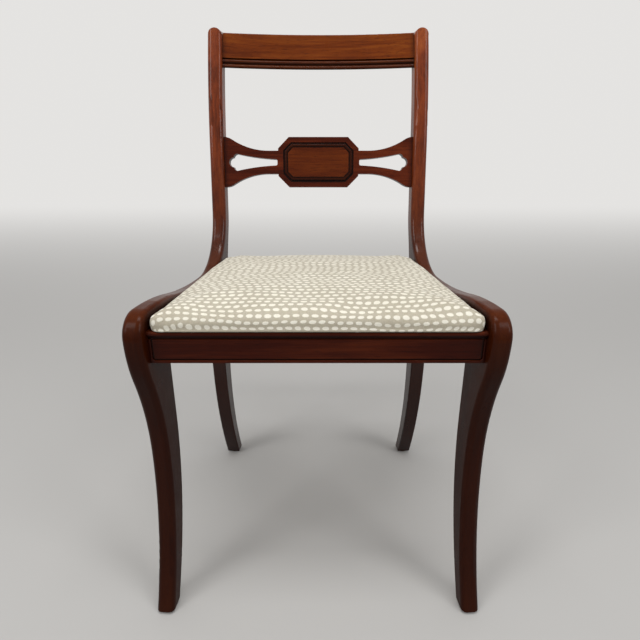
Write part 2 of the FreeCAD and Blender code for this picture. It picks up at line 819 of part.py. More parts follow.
def slot_outline(hand):
    """Tapered slot in an arm: square at the tablet, and a round lobe between shoulders at the post."""
    end_x = S.tablet_width / 2 + S.slot_wood
    end_z = S.slot_end_height / 2
    shoulder_x = MID_END_X - S.slot_shoulder_set
    shoulder_z = S.slot_shoulder_height / 2
    cusp_x = MID_END_X - S.slot_cusp_set
    lobe = S.slot_lobe_radius
    corner = S.slot_end_round
    half = [
        (end_x + corner, end_z, LEFT_TURN, S.slot_edge_radius),
        (shoulder_x, shoulder_z, RIGHT_TURN, S.slot_shoulder_radius),
        (cusp_x, lobe, RIGHT_TURN, lobe * 1.001),
        (cusp_x, -lobe, RIGHT_TURN, S.slot_shoulder_radius),
        (shoulder_x, -shoulder_z, LEFT_TURN, S.slot_edge_radius),
        (end_x + corner, -end_z, RIGHT_TURN, corner),
        (end_x, corner - end_z),
        (end_x, end_z - corner, RIGHT_TURN, corner),
    ]
    if hand > 0:
        return half
    # The other arm's slot runs the same corners backwards, so an arc belongs to its other end.
    mirrored = []
    for corner_here, corner_before in zip(half[::-1], half[-2::-1] + half[-1:]):
        mirrored.append((-corner_here[0], corner_here[1], *corner_before[2:]))
    return mirrored


def add_mid_rail(space):
    lean = (-1, 0, 0)
    body = add_body("mid_rail_blank", placed(0, KNEE_Y + MID_FRONT_Y, S.mid_rail_z, lean, S.post_lean))
    board = add_sketch(body, "mid_rail_board", "XZ_Plane")
    draw_loop(board, mid_rail_outline())
    add_pad(body, board, S.mid_stock, reverse=True)
    slots = add_sketch(body, "mid_rail_slots", "XZ_Plane")
    for hand in SIDES.values():
        draw_loop(slots, slot_outline(hand))
    add_pocket(body, slots, S.mid_stock * 3, symmetric=True)
    recess = add_sketch(body, "mid_rail_recess", "XZ_Plane")
    draw_loop(recess, octagon(S.tablet_border))
    add_pocket(body, recess, S.tablet_recess)
    return add_boolean("Common", "mid_rail_trimmed", body, space)


def add_tablet_panel():
    """Raised octagonal panel with a rounded rim, and a groove round its field."""
    body = add_body("tablet_panel", "mid_rail_blank.Placement")
    rim = S.tablet_border + S.panel_gap
    slab = add_sketch(body, "panel_slab", "XZ_Plane", -S.tablet_recess)
    draw_loop(slab, octagon(rim))
    pad = add_pad(body, slab, S.tablet_recess + S.panel_proud)
    corners = octagon(rim)
    middles = [between(here, there, 0.5) for here, there in zip(corners, corners[1:] + corners[:1])]
    add_fillet(body, pad, [spot(x, -S.panel_proud, z) for x, z in middles], S.panel_round)
    groove = add_sketch(body, "panel_groove_ring", "XZ_Plane", S.panel_proud)
    draw_loop(groove, octagon(rim + S.panel_bead))
    draw_loop(groove, octagon(rim + S.panel_bead + S.panel_groove))
    add_pocket(body, groove, S.panel_groove_depth)
    return body


# Dowels, each with the hole that it needs in the pieces on both sides of its joint

def add_dowel_group(label, places):
    """Dowels and their drilled holes. A place is the start of a dowel and the turn that points it on."""
    length = S.dowel_in_side + S.dowel_in_rail
    radius = S.dowel_diameter / 2
    dowels = []
    holes = []
    for number, (start, axis, angle, within) in enumerate(places):
        end = f"placement(vector(0; 0; {text_of(-S.dowel_end_gap)}); rotation(vector(0; 0; 1); 0))"
        where = placed(*start, axis, angle, within)
        dowels.append(add_cylinder(f"{label}_{number}", radius, length, where))
        hole = add_cylinder(
            f"{label}_hole_{number}",
            radius + S.dowel_clearance,
            length + S.dowel_end_gap * 2,
            f"{where} * {end}",
        )
        holes.append(hole)
    return add_compound(label, dowels), holes


def across_places(half_width, y, heights):
    """Dowels through both ends of a rail between the side frames, along x."""
    places = []
    for hand in SIDES.values():
        for z, set_back in heights:
            start = ((half_width + S.dowel_in_side) * hand, KNEE_Y + y + set_back, z)
            places.append((start, (0, -hand, 0), 90, ""))
    return places


def add_dowels():
    """Six groups of dowels, and the hole cutters that belong to each kind of joint."""
    spread = S.dowel_spacing / 2
    front_z = RAIL_TOP_Z - S.front_rail_height / 2
    back_z = RAIL_TOP_Z - S.back_rail_height / 2
    front_y = S.front_rail_set + S.rail_stock / 2
    back_y = BACK_RAIL_Y + S.rail_stock / 2
    side_z = (SIDE_RAIL_BOTTOM_Z + S.seat_rail_z) / 2
    groups = {
        "front_rail_dowels": across_places(
            inner_half_width(front_y), front_y, [(front_z - spread, 0), (front_z + spread, 0)]),
        "back_rail_dowels": across_places(
            inner_half_width(back_y), back_y, [(back_z - spread, 0), (back_z + spread, 0)]),
    }
    crest_x = CREST_END_X - S.dowel_in_rail / 2
    crest_depth_here = crest_depth(S.crest_bow_radius + S.crest_stock / 2, crest_x) - CREST_END_DEPTH
    crest_y = CREST_END_Y + crest_depth_here * cosine(CREST_LEAN)
    crest_z = CREST_MIDDLE_Z - crest_depth_here * sine(CREST_LEAN)
    crest_heights = [
        (crest_z + sign * spread * cosine(CREST_LEAN), sign * spread * sine(CREST_LEAN)) for sign in (-1, 1)
    ]
    groups["crest_rail_dowels"] = across_places(CREST_END_X, crest_y, crest_heights)
    mid_y = MID_FRONT_Y + S.mid_stock / 2 * cosine(S.post_lean)
    mid_z = S.mid_rail_z - S.mid_stock / 2 * sine(S.post_lean)
    mid_spread = S.arm_end_height / 2 - S.dowel_diameter * 2
    mid_heights = [
        (mid_z + sign * mid_spread * cosine(S.post_lean), sign * mid_spread * sine(S.post_lean))
        for sign in (-1, 1)
    ]
    groups["mid_rail_dowels"] = across_places(MID_END_X, mid_y, mid_heights)
    front_places = []
    rear_places = []
    for side, hand in SIDES.items():
        for z in (side_z - spread, side_z + spread):
            middle_x = S.side_stock / 2 * -hand
            front_start = (middle_x, leg_joint_y(z) - S.dowel_in_side, z)
            rear_start = (middle_x, post_joint_y(z) + S.dowel_in_side, z)
            front_places.append((front_start, (-1, 0, 0), 90, f"{side}_side"))
            rear_places.append((rear_start, (1, 0, 0), 90, f"{side}_side"))
    groups["side_rail_front_dowels"] = front_places
    groups["side_rail_rear_dowels"] = rear_places
    return {label: add_dowel_group(label, places) for label, places in groups.items()}


# Corner blocks and screws

BLOCK_TOP_Z = RAIL_TOP_Z - S.block_drop
BLOCK_BOTTOM_Z = BLOCK_TOP_Z - S.block_height


def add_corner_block(name, hand, rail_y, run):
    """A block in a corner of the seat frame. rail_y is the rail's inner face, and run is +1 where the
    block runs back from it and -1 where it runs forward."""
    body = add_body(f"{name}_blank", placed(0, KNEE_Y, 0))
    outline = add_sketch(body, f"{name}_outline", "XY_Plane", BLOCK_BOTTOM_Z)
    corner_x = inner_half_width(rail_y)
    far_y = rail_y + S.block_length * run
    far_x = inner_half_width(far_y)
    corners = [
        (corner_x * hand, rail_y),
        ((corner_x - S.block_length) * hand, rail_y),
        ((corner_x - S.block_length) * hand, rail_y + S.block_end * run),
        ((far_x - S.block_end) * hand, far_y),
        (far_x * hand, far_y),
    ]
    draw_loop(outline, corners)
    add_pad(body, outline, S.block_height)
    return body


def screw_places(hand, rail_y, run):
    """Where a block's two screws sit: into its rail along y, and into its side frame along x."""
    middle_z = (BLOCK_TOP_Z + BLOCK_BOTTOM_Z) / 2
    rail_start = (
        (inner_half_width(rail_y) - S.screw_set) * hand,
        KNEE_Y + rail_y + S.screw_seat * run,
        middle_z,
    )
    side_y = rail_y + S.screw_set * run
    side_start = (
        (inner_half_width(side_y) - S.screw_seat) * hand,
        KNEE_Y + side_y,
        middle_z,
    )
    return [placed(*rail_start, (run, 0, 0), 90), placed(*side_start, (0, hand, 0), 90)]


def add_screw(name, where):
    """Pan-head wood screw that points along its own +z, with the cutter that clears it."""
    shank = S.screw_diameter / 2
    head = S.screw_head_diameter / 2
    screw = add_turned(name, [
        (0, -S.screw_head_height),
        (head / 2, -S.screw_head_height),
        (head, S.screw_head_height * -0.4),
        (head, 0),
        (shank, 0),
        (shank, S.screw_length - S.screw_diameter),
        (0, S.screw_length),
    ], where)
    bore = shank + S.screw_clearance
    counterbore = head + S.head_clearance
    cutter = add_turned(f"{name}_cutter", [
        (0, -S.block_length),
        (counterbore, -S.block_length),
        (counterbore, 0),
        (bore, 0),
        (bore, S.screw_length + S.screw_clearance),
        (0, S.screw_length + S.screw_clearance),
    ], where)
    return screw, cutter


def add_corner_blocks():
    """The four blocks before drilling, the screws, and the cutters by the pieces that they enter."""
    front_y = S.front_rail_set + S.rail_stock
    blocks = {}
    screws = []
    cutters = {}
    for side, hand in SIDES.items():
        for end, rail_y, run in (("front", front_y, 1), ("rear", BACK_RAIL_Y, -1)):
            name = f"{side}_{end}_corner_block"
            blocks[name] = add_corner_block(name, hand, rail_y, run)
            rail_place, side_place = screw_places(hand, rail_y, run)
            rail_screw, rail_cutter = add_screw(f"{name}_rail_screw", rail_place)
            side_screw, side_cutter = add_screw(f"{name}_side_screw", side_place)
            screws += [rail_screw, side_screw]
            cutters[name] = (rail_cutter, side_cutter)
    return blocks, add_compound("corner_block_screws", screws), cutters


# Glides

def add_glides():
    """Nail-on glides under the four feet, with the cutters for their nails."""
    pin = S.glide_nail_diameter / 2
    edge = S.glide_diameter / 2
    top = S.glide_height
    nail_top = top + S.glide_nail_length
    bore = pin + S.nail_clearance
    foot_y = {
        "front": S.front_foot_depth / 2 - S.toe_reach,
        "rear": REAR_HEEL_Y - S.rear_foot_depth / 2,
    }
    glides = []
    cutters = {}
    for side, hand in SIDES.items():
        for end, y in foot_y.items():
            name = f"{side}_{end}_glide"
            where = placed(S.side_stock / 2 * -hand, y, 0, within=f"{side}_side")
            glides.append(add_turned(name, [
                (0, 0),
                (edge - S.glide_edge, 0),
                (edge, S.glide_edge),
                (edge, top),
                (pin, top),
                (pin, nail_top),
                (0, nail_top),
            ], where))
            cutters[side, end] = add_cylinder(f"{name}_cutter", bore, nail_top + S.nail_clearance, where)
    return add_compound("glides", glides), cutters


# Drop-in seat

SEAT_Z = RAIL_TOP_Z + S.seat_gap
SEAT_FRONT_Y = S.front_rail_set - S.seat_front_set
SEAT_BACK_Y = BACK_RAIL_Y + S.rail_stock + S.seat_overhang


def seat_outline(inset, draw_in=None, back_inset=None):
    """The seat's plan, drawn in, with rounded corners and edges that may hollow slightly."""
    front_y = SEAT_FRONT_Y + inset
    back_y = SEAT_BACK_Y - (inset if back_inset is None else back_inset)
    trim = S.seat_side_gap + inset / COS_SPLAY
    front_x = inner_half_width(front_y) - trim
    back_x = inner_half_width(back_y) - trim
    front_reach = S.seat_corner * tangent(45 + S.splay_angle / 2)
    back_reach = S.seat_corner * tangent(45 - S.splay_angle / 2)
    side_front = (front_x - front_reach * SIN_SPLAY, front_y + front_reach * COS_SPLAY)
    side_back = (back_x + back_reach * SIN_SPLAY, back_y - back_reach * COS_SPLAY)
    rounding = (LEFT_TURN, S.seat_corner)
    straight = ((), (), ())
    if draw_in is not None:
        half_lengths = (front_x - front_reach, (side_back[1] - side_front[1]) / 2, back_x - back_reach)
        straight = [(RIGHT_TURN, arc_radius(half, draw_in)) for half in half_lengths]
    front_edge, side_edge, back_edge = straight
    return [
        (front_reach - front_x, front_y, *front_edge),
        (front_x - front_reach, front_y, *rounding),
        (*side_front, *side_edge),
        (*side_back, *rounding),
        (back_x - back_reach, back_y, *back_edge),
        (back_reach - back_x, back_y, *rounding),
        (-side_back[0], side_back[1], *side_edge),
        (-side_front[0], side_front[1], *rounding),
    ]


def pillow_levels(shrink):
    """Sections of the seat: a tucked foot, a rounded edge, a shallow crown.

    Each has its height and its inward draw, at the front and sides and at the gentler back edge.
    """
    edge = S.seat_edge_round - shrink
    foot_draw = S.seat_tuck + shrink
    levels = [(shrink, foot_draw, foot_draw), (S.seat_edge_rise, shrink, shrink)]
    for turn in EDGE_TURNS:
        rise = edge * math.sin(math.radians(turn))
        turn_in = edge * (1 - math.cos(math.radians(turn)))
        levels.append((S.seat_edge_rise + rise, shrink + turn_in, shrink + turn_in * S.seat_back_ease))
    shoulder, shoulder_draw, back_draw = levels[-1]
    rise = S.seat_crown - shrink - shoulder
    reach = S.crown_reach - shoulder_draw
    back_reach = S.back_crown_reach - back_draw
    for share in CROWN_SHARES:
        level = shoulder + rise * (1 - (1 - share)**2)
        levels.append((level, shoulder_draw + reach * share, back_draw + back_reach * share))
    return levels


def add_pillow(name, shrink):
    """The crowned seat form, shrunk evenly where it has to fit inside another."""
    body = add_body(name, placed(0, KNEE_Y, SEAT_Z))
    sections = []
    for number, (level, draw, back_draw) in enumerate(pillow_levels(shrink)):
        section = add_sketch(body, f"{name}_section_{number}", "XY_Plane", level)
        draw_loop(section, seat_outline(draw, S.seat_draw_in, back_draw))
        sections.append(section)
    loft = body.newObject("PartDesign::AdditiveLoft", f"{name}_loft")
    loft.Profile = sections[0]
    loft.Sections = sections[1:]
    loft.Ruled = True
    doc.recompute()
    return body


def add_slab(name, inset, bottom, thickness):
    """A flat sheet of the seat's plan, at a height above the seat's underside."""
    body = add_body(name, placed(0, KNEE_Y, SEAT_Z))
    outline = add_sketch(body, f"{name}_outline", "XY_Plane", bottom)
    draw_loop(outline, seat_outline(inset))
    add_pad(body, outline, thickness)
    return body


def tack_spots():
    """Tack positions along the four edges of the seat, in its plan."""
    inset = S.tack_inset
    front_y = SEAT_FRONT_Y + inset
    back_y = SEAT_BACK_Y - inset
    spots = []
    for number in range(TACKS_PER_EDGE):
        share = (number + 0.5) / TACKS_PER_EDGE
        side_y = front_y + (back_y - front_y) * ((number + 1) / (TACKS_PER_EDGE + 1))
        side_x = inner_half_width(side_y) - S.seat_side_gap - inset
        spots += [(side_x, side_y), (-side_x, side_y)]
        for y in (front_y, back_y):
            edge_x = inner_half_width(y) - S.seat_side_gap - inset
            spots.append((edge_x * (share * 2 - 1), y))
    return spots


def add_seat():
    """Plywood board, crowned padding, the fabric cover that wraps both, and the tacks under it."""
    cover_form = add_pillow("cover_form", 0)
    cover_hollow = add_pillow("cover_hollow", S.cover_thickness)
    pad_form = add_pillow("padding_form", S.cover_thickness + S.layer_gap)
    board_bottom = S.cover_thickness + S.layer_gap
    board_top = board_bottom + S.board_thickness
    board_inset = S.seat_tuck + S.seat_draw_in + board_bottom
    board = add_slab("board_slab", board_inset, board_bottom, S.board_thickness)
    pad_zone = add_slab("padding_zone", -S.seat_corner / 2, board_top + S.layer_gap, S.seat_crown * 2)
    opening = add_slab("cover_opening", S.cover_return, -S.cover_thickness, S.cover_thickness * 3)
    head = S.tack_head_diameter / 2
    shank = S.tack_diameter / 2
    tacks = []
    holes = []
    for number, (x, y) in enumerate(tack_spots()):
        where = placed(x, KNEE_Y + y, SEAT_Z)
        tacks.append(add_turned(f"tack_{number}", [
            (0, -S.tack_head_height),
            (head * 0.6, -S.tack_head_height),
            (head, 0),
            (shank, 0),
            (shank, S.tack_length - S.tack_diameter),
            (0, S.tack_length),
        ], where))
        holes.append(add_cylinder(
            f"tack_hole_{number}", shank + S.tack_clearance, S.tack_length + S.tack_clearance, where))
    drilled = add_compound("tack_holes", holes)
    cavity = add_compound("cover_cavity", [cover_hollow])
    hollowed = add_boolean("Cut", "cover_shell", cover_form, cavity)
    opened = add_boolean("Cut", "cover_opened", hollowed, opening)
    return {
        "seat_board": add_boolean("Cut", "seat_board", board, drilled),
        "seat_padding": add_boolean("Common", "seat_padding", pad_form, pad_zone),
        "seat_cover": add_boolean("Cut", "seat_cover", opened, drilled),
        "seat_tacks": add_compound("seat_tacks", tacks),
    }


# The whole chair

def build_chair():
    space = add_between_sides()
    blanks = {}
    for side in SIDES:
        for kind, piece in add_side_pieces(side).items():
            blanks[f"{side}_{kind}"] = piece
    blanks["front_rail"] = add_front_rail(space)
    blanks["back_rail"] = add_back_rail(space)
    blanks["crest_rail"] = add_crest_rail(space)
    blanks["mid_rail"] = add_mid_rail(space)
    nodes = {"tablet_panel": add_tablet_panel()}

    cuts = {name: [] for name in blanks}
    holes = {}
    for label, (group, cutters) in add_dowels().items():
        nodes[label] = group
        holes[label] = cutters
    across = {"front_leg": ("front_rail",), "back_post": ("back_rail", "crest_rail", "mid_rail")}
    for number, side in enumerate(SIDES):
        pair = slice(number * 2, number * 2 + 2)
        for piece, rails in across.items():
            for rail in rails:
                cutters = holes[f"{rail}_dowels"][pair]
                cuts[f"{side}_{piece}"] += cutters
                cuts[rail] += cutters
        for end, piece in (("front", "front_leg"), ("rear", "back_post")):
            cutters = holes[f"side_rail_{end}_dowels"][pair]
            cuts[f"{side}_{piece}"] += cutters
            cuts[f"{side}_side_rail"] += cutters

    blocks, nodes["corner_block_screws"], block_cutters = add_corner_blocks()
    for name, (rail_cutter, side_cutter) in block_cutters.items():
        side, end = name.split("_")[:2]
        blanks[name] = blocks[name]
        cuts[name] = [rail_cutter, side_cutter]
        cuts["front_rail" if end == "front" else "back_rail"].append(rail_cutter)
        cuts[f"{side}_side_rail"].append(side_cutter)

    nodes["glides"], nail_cutters = add_glides()
    for (side, end), cutter in nail_cutters.items():
        cuts[f"{side}_front_leg" if end == "front" else f"{side}_back_post"].append(cutter)

    for name, blank in blanks.items():
        cutters = add_compound(f"{name}_cutters", cuts[name])
        nodes[name] = add_boolean("Cut", name, blank, cutters)
    nodes.update(add_seat())
    doc.recompute()
    return nodes


def check(nodes):
    for item in doc.Objects:
        if "Invalid" in item.State or "Error" in item.State:
            raise ValueError(f"{item.Name} failed: {item.State}")
    for name, item in nodes.items():
        if item.Shape.isNull() or not item.Shape.isValid():
            raise ValueError(f"{name} has no valid shape")


nodes = build_chair()
check(nodes)
os.makedirs("parts", exist_ok=True)
for name, item in nodes.items():
    item.Label = name
    item.Shape.exportStep(f"parts/{name}.step")
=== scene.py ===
import math
from collections import namedtuple
import bmesh
import bpy
import numpy as np
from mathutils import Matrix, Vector


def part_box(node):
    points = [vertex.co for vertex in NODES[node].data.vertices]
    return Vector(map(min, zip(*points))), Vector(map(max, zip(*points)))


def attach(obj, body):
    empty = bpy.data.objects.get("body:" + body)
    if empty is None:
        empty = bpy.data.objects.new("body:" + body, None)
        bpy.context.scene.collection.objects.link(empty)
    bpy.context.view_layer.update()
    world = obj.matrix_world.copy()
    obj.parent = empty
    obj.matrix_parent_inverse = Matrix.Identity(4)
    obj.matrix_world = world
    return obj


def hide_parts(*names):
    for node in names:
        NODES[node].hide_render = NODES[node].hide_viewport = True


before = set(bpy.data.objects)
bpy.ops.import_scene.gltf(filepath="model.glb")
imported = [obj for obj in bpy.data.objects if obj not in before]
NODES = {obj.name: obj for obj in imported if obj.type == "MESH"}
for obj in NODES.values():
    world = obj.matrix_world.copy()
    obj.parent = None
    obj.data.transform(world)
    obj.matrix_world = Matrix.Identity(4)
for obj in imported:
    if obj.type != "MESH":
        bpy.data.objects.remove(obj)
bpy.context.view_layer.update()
MM = 0.001
TINY = 1e-9
HUGE = 1e9

# Camera, as the photograph was taken: a phone held low in front of the chair and tipped down
CAMERA_PLACE = (0.003, -0.734, 0.6295)
CAMERA_PITCH = math.radians(20.08)
CAMERA_LENS = 26.65
CAMERA_SENSOR = 36

# Stage: a floor that fades into a pale backdrop over FADE in y, dim light all round and three soft lamps
PAPER = (0.78, 0.77, 0.755)
FLOOR = (0.53, 0.52, 0.505)
FLOOR_SIZE = 30
FADE = (0.0, 5.0)
SKY_FRONT = 0.45
SKY_TOP = 0.5
SKY_BEHIND_RANGE = (-0.25, 0.45)
SKY_ABOVE_RANGE = (0.35, 0.85)
Lamp = namedtuple("Lamp", "name place target size watts")
LAMPS = (
    Lamp("overhead", place=(0, -0.4, 2.4), target=(0, 0, 0.4), size=(1.4, 0.5), watts=15),
    Lamp("left_panel", place=(-1.6, -1.25, 1.75), target=(0, 0, 0.6), size=(0.8, 1.5), watts=16),
    Lamp("right_panel", place=(1.6, -1.2, 1.75), target=(0, 0, 0.6), size=(0.8, 1.5), watts=14),
)

# Wood: a dark, a middle and a light tone of each, as linear colours
SIDE_TONES = ((0.075, 0.0115, 0.0022), (0.205, 0.0360, 0.0070), (0.300, 0.0680, 0.0130))
RAIL_TONES = ((0.031, 0.0030, 0.0005), (0.045, 0.0047, 0.0007), (0.100, 0.0165, 0.0033))
FRAME_TONES = ((0.025, 0.0031, 0.0009), (0.084, 0.0112, 0.0023), (0.150, 0.0265, 0.0058))
CREST_TONES = ((0.075, 0.0115, 0.0014), (0.155, 0.0300, 0.0028), (0.250, 0.0620, 0.0065))
PANEL_TONES = ((0.040, 0.0055, 0.0010), (0.100, 0.0165, 0.0023), (0.170, 0.0360, 0.0045))
BEECH_TONES = ((0.300, 0.190, 0.100), (0.430, 0.290, 0.165), (0.540, 0.385, 0.235))
PLY_TONES = ((0.360, 0.240, 0.130), (0.500, 0.355, 0.205), (0.610, 0.460, 0.285))

# Grain: how often a pattern repeats in a metre, along the piece and across it
Grain = namedtuple("Grain", "along across detail roughness distortion")
FLAME = Grain(along=3.2, across=26, detail=4, roughness=0.55, distortion=0.9)
STREAKS = Grain(along=7, across=260, detail=3, roughness=0.6, distortion=0.2)
PORES = Grain(along=55, across=1300, detail=1, roughness=0.5, distortion=0.0)
FLAME_SHARE = 0.62
STREAK_SHARE = 0.38
TONE_STOPS = (0.34, 0.50, 0.68)
PORE_RANGE = (0.60, 0.72)
PORE_DEPTH = 0.6
PORE_SHADE = 0.3

# Polish: ranges are what a pattern runs from and to, then what it is turned into
# The third share is painted light on surfaces that face up; feet says whether the piece gets painted shade
# towards the floor
Finish = namedtuple("Finish", "tones gloss bleach feet")
LEG = Finish(SIDE_TONES, gloss=0.13, bleach=0.12, feet=True)
SIDE = Finish(SIDE_TONES, gloss=0.24, bleach=0.12, feet=True)
POST = Finish(SIDE_TONES, gloss=0.48, bleach=0.12, feet=True)
RAIL = Finish(RAIL_TONES, gloss=0.16, bleach=1.0, feet=False)
CREST = Finish(CREST_TONES, gloss=0.24, bleach=0.30, feet=False)
FRET = Finish(FRAME_TONES, gloss=0.24, bleach=0.30, feet=False)
PANEL = Finish(PANEL_TONES, gloss=0.22, bleach=0.30, feet=False)
BLOTCH_SCALE = 9
BLOTCH_RANGE = (0.42, 0.75, 0.0, 0.4)
EDGE_REACH = 3 * MM
EDGE_RANGE = (0.75, 0.45)
RUBBED_SCALE = 60
RUBBED_RANGE = (0.40, 0.65)
WEAR = 0.4
WEAR_LIFT = 1.2
# Painted shade: heights in metres and how far legs, side rails and posts keep their colour there, darkest
# near the floor
DARKER_BELOW = (
    (0.0, 0.96), (0.30, 0.92), (0.43, 0.86), (0.46, 0.80), (0.52, 0.45), (0.60, 0.10), (0.68, 0.0)
)
PAINTED_SHADE_BELOW = 0.2
# Painted shade: surfaces that face down are darkened
UNDER_RANGE = (0.10, -0.40, 0.0, 0.85)
UNDER_SHADE = 0.2
# Painted light: surfaces that face up are lightened towards the light tone, most of all on the rails
PAINTED_TOP_LIGHT_RANGE = (0.25, 0.85)
# Painted shade on the tablet's rim and the crest's reeds: how much, and how dark
PAINTED_SHADE_MASK_SHARE = 0.8
PAINTED_SHADE_MASK_DARKNESS = 0.3
# Grime and painted shade in hollows, corners and joints between parts, found by occlusion within this reach
HOLLOW_REACH = 10 * MM
GRIME_AND_SHADE_RANGE = (0.45, 0.95, 0.85, 0.0)
GRIME_AND_SHADE_DARKNESS = 0.25
SMUDGE_SCALE = 34
SMUDGE_RANGE = (0.3, 0.75, 0.26, 0.42)
POLISH_SPECULAR = 0.03
COAT_ROUGHNESS = 0.14
# Where painted shade falls on the tablet's rim
PANEL_CORNER = 12.5 * MM
PANEL_RIM = 6.4 * MM
PANEL_RIM_EASE = 0.8
# Where painted shade falls on the crest's reeds
REEDS = 17 * MM
REEDS_EASE = 0.9
REEDS_SHARE = 0.75

# Raw wood, plywood, steel and plastic
RAW_SPECULAR = 0.25
STAIN_SCALE = 12
STAIN_RANGE = (0.5, 0.8, 0.0, 0.5)
STAIN_SHADE = 0.5
SAWN_RANGE = (0.3, 0.7, 0.62, 0.8)
PLY_PAIR = 4.4 * MM
PLY_RANGE = (0.4, 0.6)
PLY_FACE_RANGE = (0.5, 0.7)
PLY_CROSS_SHADE = 0.55
PLY_ROUGHNESS = 0.72
PLY_OFFSET = (4, 9, 2)
WAVE_TURN = 20  # radians that the wave texture turns in a metre, at a scale of 1
STEEL_SCALE = 700
STEEL_TONES = ((0.3, (0.42, 0.41, 0.39)), (0.7, (0.66, 0.66, 0.66)))
STEEL_RANGE = (0.3, 0.7, 0.28, 0.5)
PLASTIC_SCALE = 900
PLASTIC_TONES = ((0.3, (0.060, 0.034, 0.020)), (0.7, (0.105, 0.064, 0.040)))
SCUFF_SCALE = (120, 900, 60)
SCUFF_RANGE = (0.55, 0.7, 0.0, 0.6)
SCUFF_COLOUR = (0.21, 0.16, 0.12)
SCUFF_ROUGHNESS = (0.4, 0.7, 0.42, 0.65)

# Nodes that stay in sight, with the axis their grain runs along
POLISHED_NODES = {
    "left_front_leg": ("z", LEG),
    "right_front_leg": ("z", LEG),
    "left_side_rail": ("y", SIDE),
    "right_side_rail": ("y", SIDE),
    "left_back_post": ("z", POST),
    "right_back_post": ("z", POST),
    "front_rail": ("x", RAIL),
    "back_rail": ("x", RAIL),
    "crest_rail": ("x", CREST),
    "mid_rail": ("x", FRET),
    "tablet_panel": ("x", PANEL),
}
RAW_NODES = {
    "left_front_corner_block": "x",
    "right_front_corner_block": "x",
    "left_rear_corner_block": "x",
    "right_rear_corner_block": "x",
    "front_rail_dowels": "x",
    "back_rail_dowels": "x",
    "crest_rail_dowels": "x",
    "mid_rail_dowels": "x",
    "side_rail_front_dowels": "y",
    "side_rail_rear_dowels": "y",
}
POLISHED_OFFSET = (3.1, 1.7, 2.3)
RAW_OFFSET = (1.9, 2.7, 1.3)

# The drop-in seat: a tapered plan with rounded corners, in metres
SEAT_LOW, SEAT_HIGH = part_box("seat_cover")
SEAT_FRONT_HALF = 202.9 * MM
SEAT_BACK_HALF = 172.8 * MM
SEAT_CORNER = 12 * MM
SEAT_CORNER_LEAST = 0.2 * MM
SEAT_TUCK = 1.0 * MM
SEAT_WIDEST = 8 * MM
SEAT_EDGE = 14 * MM
SEAT_CROWN = SEAT_HIGH.z - SEAT_LOW.z
FOOT_TUCK = 0.35 * SEAT_TUCK
FOOT_HEIGHT = 0.4 * SEAT_WIDEST
EDGE_TURNS = (20, 40, 60, 76)
CROWN_SHARES = (0.12, 0.3, 0.5, 0.75, 1)
CROWN_REACH = 110 * MM
BACK_CROWN_REACH = 135 * MM
BACK_EASE = 2.4
SIDE_DRAW = 1.5 * MM
BACK_FALL_REACH = 120 * MM
BACK_FALL = 0.58
CORNER_FALL = 0.30
BOARD_TOP = 436 * MM
SKIN_OVER_BOARD = 3 * MM
SIDE_STEPS = 30
CORNER_STEPS = 10

# Stuffing: the start shape is a little smaller than the seat, and the cloth simulation swells it
VOXEL = 5.5 * MM
STUFFING_START = 0.4 * MM
STUFFING_CROWN = SEAT_CROWN - 2 * MM
STUFFING_CAP = 4 * MM
STUFFING_FRAMES = 20
STUFFING_QUALITY = 6
STUFFING_PRESSURE = 4
CLOTH_MASS = 0.3
HELD_HEIGHT = 0.3 * VOXEL
SIDE_SWELL = 0.5 * MM
SIDE_BAND = 3 * SEAT_CORNER

# Underside: the cover's lower edge rests on the rails, hangs between them and turns under the board
FLATTENED = 0.35 * VOXEL
RESTING = 0.1 * MM
TURNED_UNDER = 48 * MM
SIDE_HANG = 8 * MM
HANG_FROM_END = 30 * MM
HANG_END_EASE = 25 * MM
HANG_WIDTH = 30 * MM
HANG_WIDTH_EASE = 20 * MM

# Cloth: wavy rows of ivory dots on a greige weave
CLOTH_REACH = 40 * MM
UNROLL_STEPS = 12
UNROLL_SPARE = 4
ROW_PITCH = 9.2 * MM
DOT_PITCH = 10.8 * MM
SWAY_SCALE = (8, 20)
SWAY = 26 * MM
ROW_JOG = 0.9
DRIFT_SCALE = (5, 30)
DRIFT = 1.6
DOT_HALF_WIDTH = (0.33, 0.40)
DOT_HALF_HEIGHT = (0.25, 0.31)
DOT_SHIFT = (-0.07, 0.07)
DOT_SQUARENESS = 2.3
DOT_EDGE = (1.15, 0.75)
RAGGED_SCALE = (900, 1100)
RAGGED = 0.9
SLUB_SCALE = (160, 2400)
SLUB_SHARE = 0.55
WARP_SCALE = (2400, 160)
WARP_SHARE = 0.45
GROUND_TONES = ((0.32, (0.39, 0.345, 0.26)), (0.52, (0.54, 0.49, 0.385)), (0.70, (0.66, 0.615, 0.50)))
IVORY_TONES = ((0.30, (0.77, 0.73, 0.61)), (0.55, (0.90, 0.865, 0.76)), (0.75, (0.94, 0.915, 0.83)))
PATCH_SCALE = (14, 14)
PATCH_RANGE = (0.35, 0.7, 0.0, 0.14)
PATCH_COLOUR = (0.45, 0.40, 0.30)
WEAVE_PITCH = 1.1 * MM


